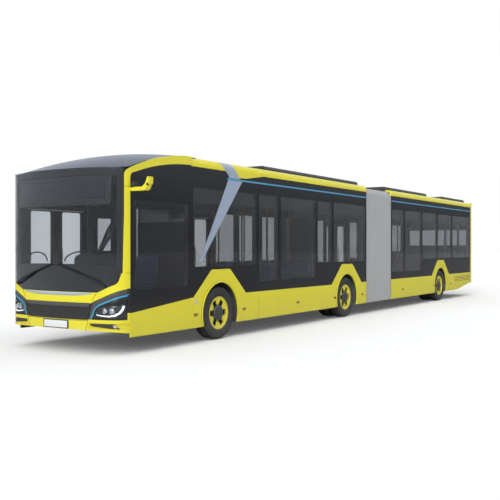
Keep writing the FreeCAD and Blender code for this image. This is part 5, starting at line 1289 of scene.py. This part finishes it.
# Ceiling, air ducts and window posts. Moulded grey linings clipped to the frame: flat ceiling panels
# with light strips, a rounded duct along each top corner, and covers on the posts.
lining = filmed("lining_plastic", (0.16, 0.165, 0.17), 0.6, 0.1, 0.9, 500, 0.2)
lamp_strip = filmed("lamp_strip", (0.8, 0.82, 0.85), 0.4, 0.1, 0.9, 300, 0.05)
duct_x = 0.80
duct_foot = 2.452
for car, start, end in (("front", -7.06, 0.050), ("rear", 1.70, 8.65)):
    body = f"{car}_car"
    low, high = (-0.82, start, 2.728), (0.82, end, 2.757)
    block(f"{car}_ceiling", low, high, body, lining, "dark_plastic", 0.006)
    duct = slab(f"{car}_duct", (duct_x, start, duct_foot), (1.210, end, 2.757), 0)
    corners = duct.data.vertices
    inner_edge = Vector((duct_x, (start + end) / 2, duct_foot))
    round_off(
        duct, lambda edge: (
            (corners[edge.vertices[0]].co + corners[edge.vertices[1]].co) / 2 - inner_edge
        ).length < 0.01, 0.24, 8,
    )
    smooth(duct, 30)
    both_sides(duct, body, lining, "dark_plastic")
    lights = slab(f"{car}_light_strip", (0.66, start + 0.2, 2.720), (0.76, end - 0.2, 2.734), 0.005)
    both_sides(lights, body, lamp_strip, "lamp_clear")

post_places = (
    ("front", 1, "left", (-7.105, -4.99, -4.17, -2.57, -1.79, -0.03)),
    ("front", -1, "right", (-7.03, -5.835, -4.63, -3.06, -2.08, -1.02, -0.06)),
    ("rear", 1, "left", (1.78, 2.665, 4.10, 6.30, 7.60, 8.62)),
    ("rear", -1, "right", (1.80, 2.56, 4.16, 5.23, 6.40, 7.55, 8.62)),
)
for car, side, word, places in post_places:
    x0, x1 = sorted((1.182 * side, 1.213 * side))
    for number, y in enumerate(places, start=1):
        low, high = (x0, y - 0.085, 1.02), (x1, y + 0.085, 2.47)
        name = f"{car}_{word}_post_{number}"
        block(name, low, high, f"{car}_car", lining, "dark_plastic", 0.010)


# Handrails. Steel poles from floor to ceiling and rails beside the doors, in yellow powder coat that
# is dulled by hands.
dress(rail_paint, "front_handrails", "rear_handrails")


# Seats. Moulded shells on pedestals, with foam cushions and backs in a dark blue woven cover. Double
# seats stand in rows, and the driver has a single one on the cab's platform.
woven, gets, gives = effect(
    "woven_cover",
    [("Color", COLOUR, (0.05, 0.09, 0.2, 1)), ("Thread", COLOUR, (0.14, 0.2, 0.36, 1)),
     ("Scale", NUMBER, 320)],
    [("Color", COLOUR), ("Normal", ARROW)],
)
laid = {"Vector": on_piece(woven), "Scale": gets["Scale"]}
warp = add(woven, "TexWave", laid, bands_direction="X")
weft = add(woven, "TexWave", laid, bands_direction="DIAGONAL")
crossing = reckon(woven, "MULTIPLY", warp["Fac"], weft["Fac"])
raised = add(woven, "Bump", {"Height": crossing, "Strength": 0.3, "Distance": 0.001})
join(
    woven, (tint(woven, crossing, gets["Color"], gets["Thread"]), gives["Color"]),
    (raised["Normal"], gives["Normal"]),
)
seat_cover = new_finish("seat_cover", (0.05, 0.09, 0.2), 0.9, {"Sheen Weight": 0.3})
lay(seat_cover, woven, {"Color": "Base Color", "Normal": "Normal"})
shell_plastic = filmed("seat_shell", (0.06, 0.065, 0.075), 0.5, 0.1, 0.9, 400, 0.2)


def cushion(name, low, high, body, lean=0.0):
    """Mounts a crowned pad whose sides pull in between its corners; lean moves its top back."""
    piece = slab(name, low, high, 0)
    at_work(piece)
    bpy.ops.mesh.subdivide(number_cuts=5)
    bpy.ops.object.mode_set(mode="OBJECT")
    middle = (Vector(low) + Vector(high)) / 2
    half = (Vector(high) - Vector(low)) / 2
    for vertex in piece.data.vertices:
        share = Vector((vertex.co[axis] - middle[axis]) / half[axis] for axis in range(3))
        pull = [1 - 0.10 * (1 - abs(share[(axis + 1) % 3])) * abs(share[(axis + 2) % 3])
                for axis in range(3)]
        vertex.co = middle + Vector(share[axis] * half[axis] * pull[axis] for axis in range(3))
        vertex.co.y += lean * (vertex.co.z - low[2]) / (high[2] - low[2])
    take(piece)
    crown = piece.modifiers.new("crown", "SUBSURF")
    crown.levels = 1
    crown.render_levels = 1
    bpy.ops.object.modifier_apply(modifier=crown.name)
    smooth(piece, 80)
    mount(piece, body, seat_cover, "seat_blue")


PAN_HEIGHT = 0.46
SEAT_DEPTH = 0.44
BACK_HEIGHT = 0.975
GAP = 0.014


def seat_at(label, car, start_y, span, floor_z, places):
    """A shell and pedestal with a cushion and a back for each place."""
    near, far = span
    body = f"{car}_car"
    pan = floor_z + PAN_HEIGHT
    end_y = start_y + SEAT_DEPTH
    shell = (body, shell_plastic, "seat_blue")
    block(
        f"{label}_leg", (near + 0.06, start_y + 0.13, floor_z + 0.002),
        (far - 0.06, end_y - 0.13, pan - 0.072), *shell, 0.01,
    )
    pan_shell = block(
        f"{label}_pan", (near + 0.004, start_y + 0.01, pan - 0.070),
        (far - 0.004, end_y - 0.004, pan - 0.040), *shell, 0.012,
    )
    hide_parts(f"{car}_seats")
    back_shell = slab(
        f"{label}_back", (near + 0.006, end_y - 0.016, pan - 0.04),
        (far - 0.006, end_y - 0.004, floor_z + BACK_HEIGHT), 0.005,
    )
    for vertex in back_shell.data.vertices:
        vertex.co.y += 0.068 * max(vertex.co.z - pan, 0) / 0.52
    mount(back_shell, *shell)
    width = (far - near) / places
    for place in range(places):
        left = near + width * place + GAP
        right = left + width - 2 * GAP
        cushion(
            f"{label}_cushion_{place + 1}", (left, start_y + 0.012, pan - 0.045),
            (right, end_y - 0.060, pan + 0.004), body,
        )
        cushion(
            f"{label}_rest_{place + 1}", (left, end_y - 0.062, pan + 0.01),
            (right, end_y - 0.018, floor_z + 0.965), body, 0.062,
        )


LOW_FLOOR = 0.36
RAISED_FLOOR = 0.56
ROW_PITCH = 0.78
seat_rows = (
    ("front_left_seat", "front", 5, -5.600, (0.335, 1.205), LOW_FLOOR),
    ("front_right_seat", "front", 1, -3.093, (-1.205, -0.335), LOW_FLOOR),
    ("rear_left_seat", "rear", 4, 1.755, (0.335, 1.205), LOW_FLOOR),
    ("rear_right_seat", "rear", 1, 4.120, (-1.205, -0.335), LOW_FLOOR),
    ("tail_left_seat", "rear", 3, 6.240, (0.335, 1.205), RAISED_FLOOR),
    ("tail_right_seat", "rear", 3, 6.240, (-1.205, -0.335), RAISED_FLOOR),
)
seat_at("driver_seat", "front", -8.020, (0.4325, 0.9325), RAISED_FLOOR, 1)
for label, car, rows, start_y, span, floor_z in seat_rows:
    for row in range(rows):
        seat_at(f"{label}_{row + 1}", car, start_y + ROW_PITCH * row, span, floor_z, 2)


# Driver's cab. Moulded dark dash and partition with a fine grain, an instrument hood and two bent
# rails behind the glass, and a slanted stay and a post that hold the cab door.
dash_plastic = filmed("dash_plastic", (0.03, 0.03, 0.033), 0.55, 0.1, 0.9, 350, 0.3)
dress(dash_plastic, "driver_cab")
hood = slab("instrument_hood", (0.02, -8.600, 1.012), (1.02, -8.380, 1.560), 0)
round_off(hood, lambda edge: all(hood.data.vertices[v].co.z > 1.5 for v in edge.vertices), 0.10, 6)
smooth(hood, 40)
mount(hood, "front_car", dash_plastic, "dark_plastic")


def hoop(name, radius, thickness, segments, place=(0, 0, 0), turn=0.0):
    """A ring of round wire, flat or turned up on its edge."""
    let_go()
    bpy.ops.mesh.primitive_torus_add(
        major_radius=radius, minor_radius=thickness, major_segments=segments[0],
        minor_segments=segments[1], location=place, rotation=(turn, 0, 0),
    )
    piece = bpy.context.object
    piece.name = name
    set_in()
    return piece


for word, x, wide, tall in (("left", 0.300, 0.46, 0.165), ("right", -0.820, 0.245, 0.150)):
    rail = hoop(f"dash_rail_{word}", 1, 0.04, (64, 10), turn=math.pi / 2)
    at_work(rail)
    bpy.ops.mesh.bisect(plane_co=(0, 0, 0), plane_no=(0, 0, 1), clear_inner=True, use_fill=True)
    done()
    for vertex in rail.data.vertices:
        place = Vector((vertex.co.x, vertex.co.z))
        middle = place.normalized() if place.length > 0.01 else place
        aside = (place - middle) * 0.30
        vertex.co = (
            x + middle.x * wide + aside.x, -8.640 + vertex.co.y * 0.30,
            1.435 + middle.y * tall + aside.y,
        )
    smooth(rail, 60)
    mount(rail, "front_car", wiper_black, "dark_plastic")
stay = slab("cab_door_stay", (-0.035, -8.020, 0), (0.035, -7.985, 0.56), 0.012, 3)
take(stay)
bpy.ops.transform.rotate(value=math.radians(-39), orient_axis="Y", center_override=(0, 0, 0))
set_in()
mount(moved(stay, (0.02, 0, 1.60)), "front_car", wiper_black, "dark_plastic")
block(
    "cab_door_post", (0.340, -8.020, 1.980), (0.400, -7.985, 2.735),
    "front_car", wiper_black, "dark_plastic", 0.012, 3,
)


# Cab screen. A pane of dark glass that keeps the saloon's lights off the windscreen, in a slim
# frame, fixed on top of the partition behind the driver.
block(
    "cab_screen", (0.170, -7.200, 2.095), (1.195, -7.192, 2.470),
    "front_car", glass("cab_glass", (0.10, 0.11, 0.12), 0.003), "window_glass", 0.002, 1,
)
frame_bars = (
    ((0.155, -7.208, 2.095), (0.180, -7.184, 2.490)), ((0.155, -7.208, 2.465), (1.205, -7.184, 2.490)),
)
for number, (low, high) in enumerate(frame_bars, start=1):
    name = f"cab_screen_bar_{number}"
    block(name, low, high, "front_car", wiper_black, "dark_plastic", 0.005)


# Equipment cabinet. A dark moulded cover on the right wall behind the first door, with an opening in
# front of the pane.
cabinet = slab("equipment_cabinet", (-1.213, -7.000, 1.020), (-1.150, -5.870, 2.470), 0)
opening = slab("opening", (-1.300, -6.880, 1.600), (-1.000, -6.500, 2.220), 0)
round_off(opening, through(opening), 0.030, 4)
carve(cabinet, opening)
ease(cabinet, 0.006)
mount(cabinet, "front_car", dash_plastic, "dark_plastic")


# Roof units. Moulded dark covers over the batteries and the air conditioning, with fan openings
# behind round wire guards and long cooling slots.
unit_paint = filmed("unit_paint", (0.045, 0.047, 0.052), 0.5, 0.4, 4.0, 300, 0.12)
dress(unit_paint, "front_roof_units", "rear_roof_units")
guard_paint = filmed("guard_paint", (0.02, 0.02, 0.022), 0.45, 0.3, 4.0, 300, 0.1)
fan_places = (-3.574, -2.674, -1.774, -0.874, 2.450, 3.350, 4.250, 7.149, 8.049)
fan_x = 0.5
ring_foot = 3.309
wire_height = 3.3155
fan_section = [(0, 0.250), (0, 0.272), (0.008, 0.272), (0.010, 0.262), (0.008, 0.250)]
for number, y in enumerate(fan_places, start=1):
    body = "front_car" if y < 0 else "rear_car"
    for side, word in SIDES:
        well = spun(f"fan_ring_{word}_{number}", fan_section, 40)
        for vertex in well.data.vertices:
            vertex.co = (fan_x * side + vertex.co.z, y + vertex.co.y, ring_foot + vertex.co.x)
        at_work(well)
        done()
        smooth(well, 40)
        mount(well, body, guard_paint, "roof_black")
        for wire_number, radius in enumerate((0.06, 0.125, 0.19), start=1):
            wire = hoop(
                f"fan_wire_{word}_{number}_{wire_number}", radius, 0.004, (32, 6),
                (fan_x * side, y, wire_height),
            )
            smooth(wire, 60)
            mount(wire, body, guard_paint, "roof_black")


# Tail. Upright red lamps in dark frames, a rear flap with seams and cooling slots, a blank plate
# holder, and a top lamp. The flap's cooling slots are flat black strips, painted shade in place of
# open slots.
red_lens = filmed("red_lens", (0.42, 0.012, 0.010), 0.15, 0.2, 0.9, 60, 0.3, {"Coat Weight": 0.6})
dress(red_lens, "tail_lamps")


tail_radius = 0.230


def round_tail(piece):
    """Bends a piece made flat on the rear face round the rear corners."""
    middle_x, middle_y = tail_corner
    for vertex in piece.data.vertices:
        turn = max(abs(vertex.co.x) - middle_x, 0) / tail_radius
        if turn:
            reach = vertex.co.y - middle_y
            vertex.co.x = math.copysign(middle_x + reach * math.sin(turn), vertex.co.x)
            vertex.co.y = middle_y + reach * math.cos(turn)
    return piece


for number, (z0, z1, finish) in enumerate(
    ((0.785, 0.925, red_lens), (0.945, 1.075, amber), (1.095, 1.225, red_lens)), start=1
):
    lamp = slab(f"tail_lamp_{number}", (1.095, 9.046, z0), (1.203, 9.0575, z1), 0.004, 3)
    both_sides(round_tail(lamp), "rear_car", finish, "lamp_red")
for name, low, high in (
    ("flap_seam_top", (-0.98, 9.0535, 1.600), (0.98, 9.0556, 1.606)),
    ("flap_seam_left", (0.975, 9.0535, 0.640), (0.981, 9.0556, 1.605)),
    ("flap_seam_right", (-0.981, 9.0535, 0.640), (-0.975, 9.0556, 1.605)),
    ("flap_seam_bottom", (-0.98, 9.0535, 0.637), (0.98, 9.0556, 0.643)),
):
    block(name, low, high, "rear_car", sealant, "black_gloss", 0.0005, 1)
# Painted shade: the cooling slots are flat black strips on the flap, not openings.
for number in range(7):
    z = 0.90 + number * 0.055
    low, high = (-0.70, 9.0530, z), (0.70, 9.0556, z + 0.020)
    strip(f"flap_slot_{number + 1}", low, high, "rear_car", black_and_slot_shade, "dark_plastic")
for number, z in enumerate((0.632, 0.838), start=1):
    side_lamp = slab(f"edge_lamp_{number}", (1.258, 9.045, z), (1.308, 9.060, z + 0.034), 0.004, 3)
    both_sides(round_tail(side_lamp), "rear_car", red_lens, "lamp_red")
strip(
    "rear_plate_holder", (-0.28, 9.050, 0.700), (0.28, 9.0557, 0.835),
    "rear_car", base_plastic, "dark_plastic",
)
strip(
    "top_brake_lamp", (-0.22, 9.046, 2.420), (0.22, 9.0557, 2.455),
    "rear_car", red_lens, "lamp_red",
)
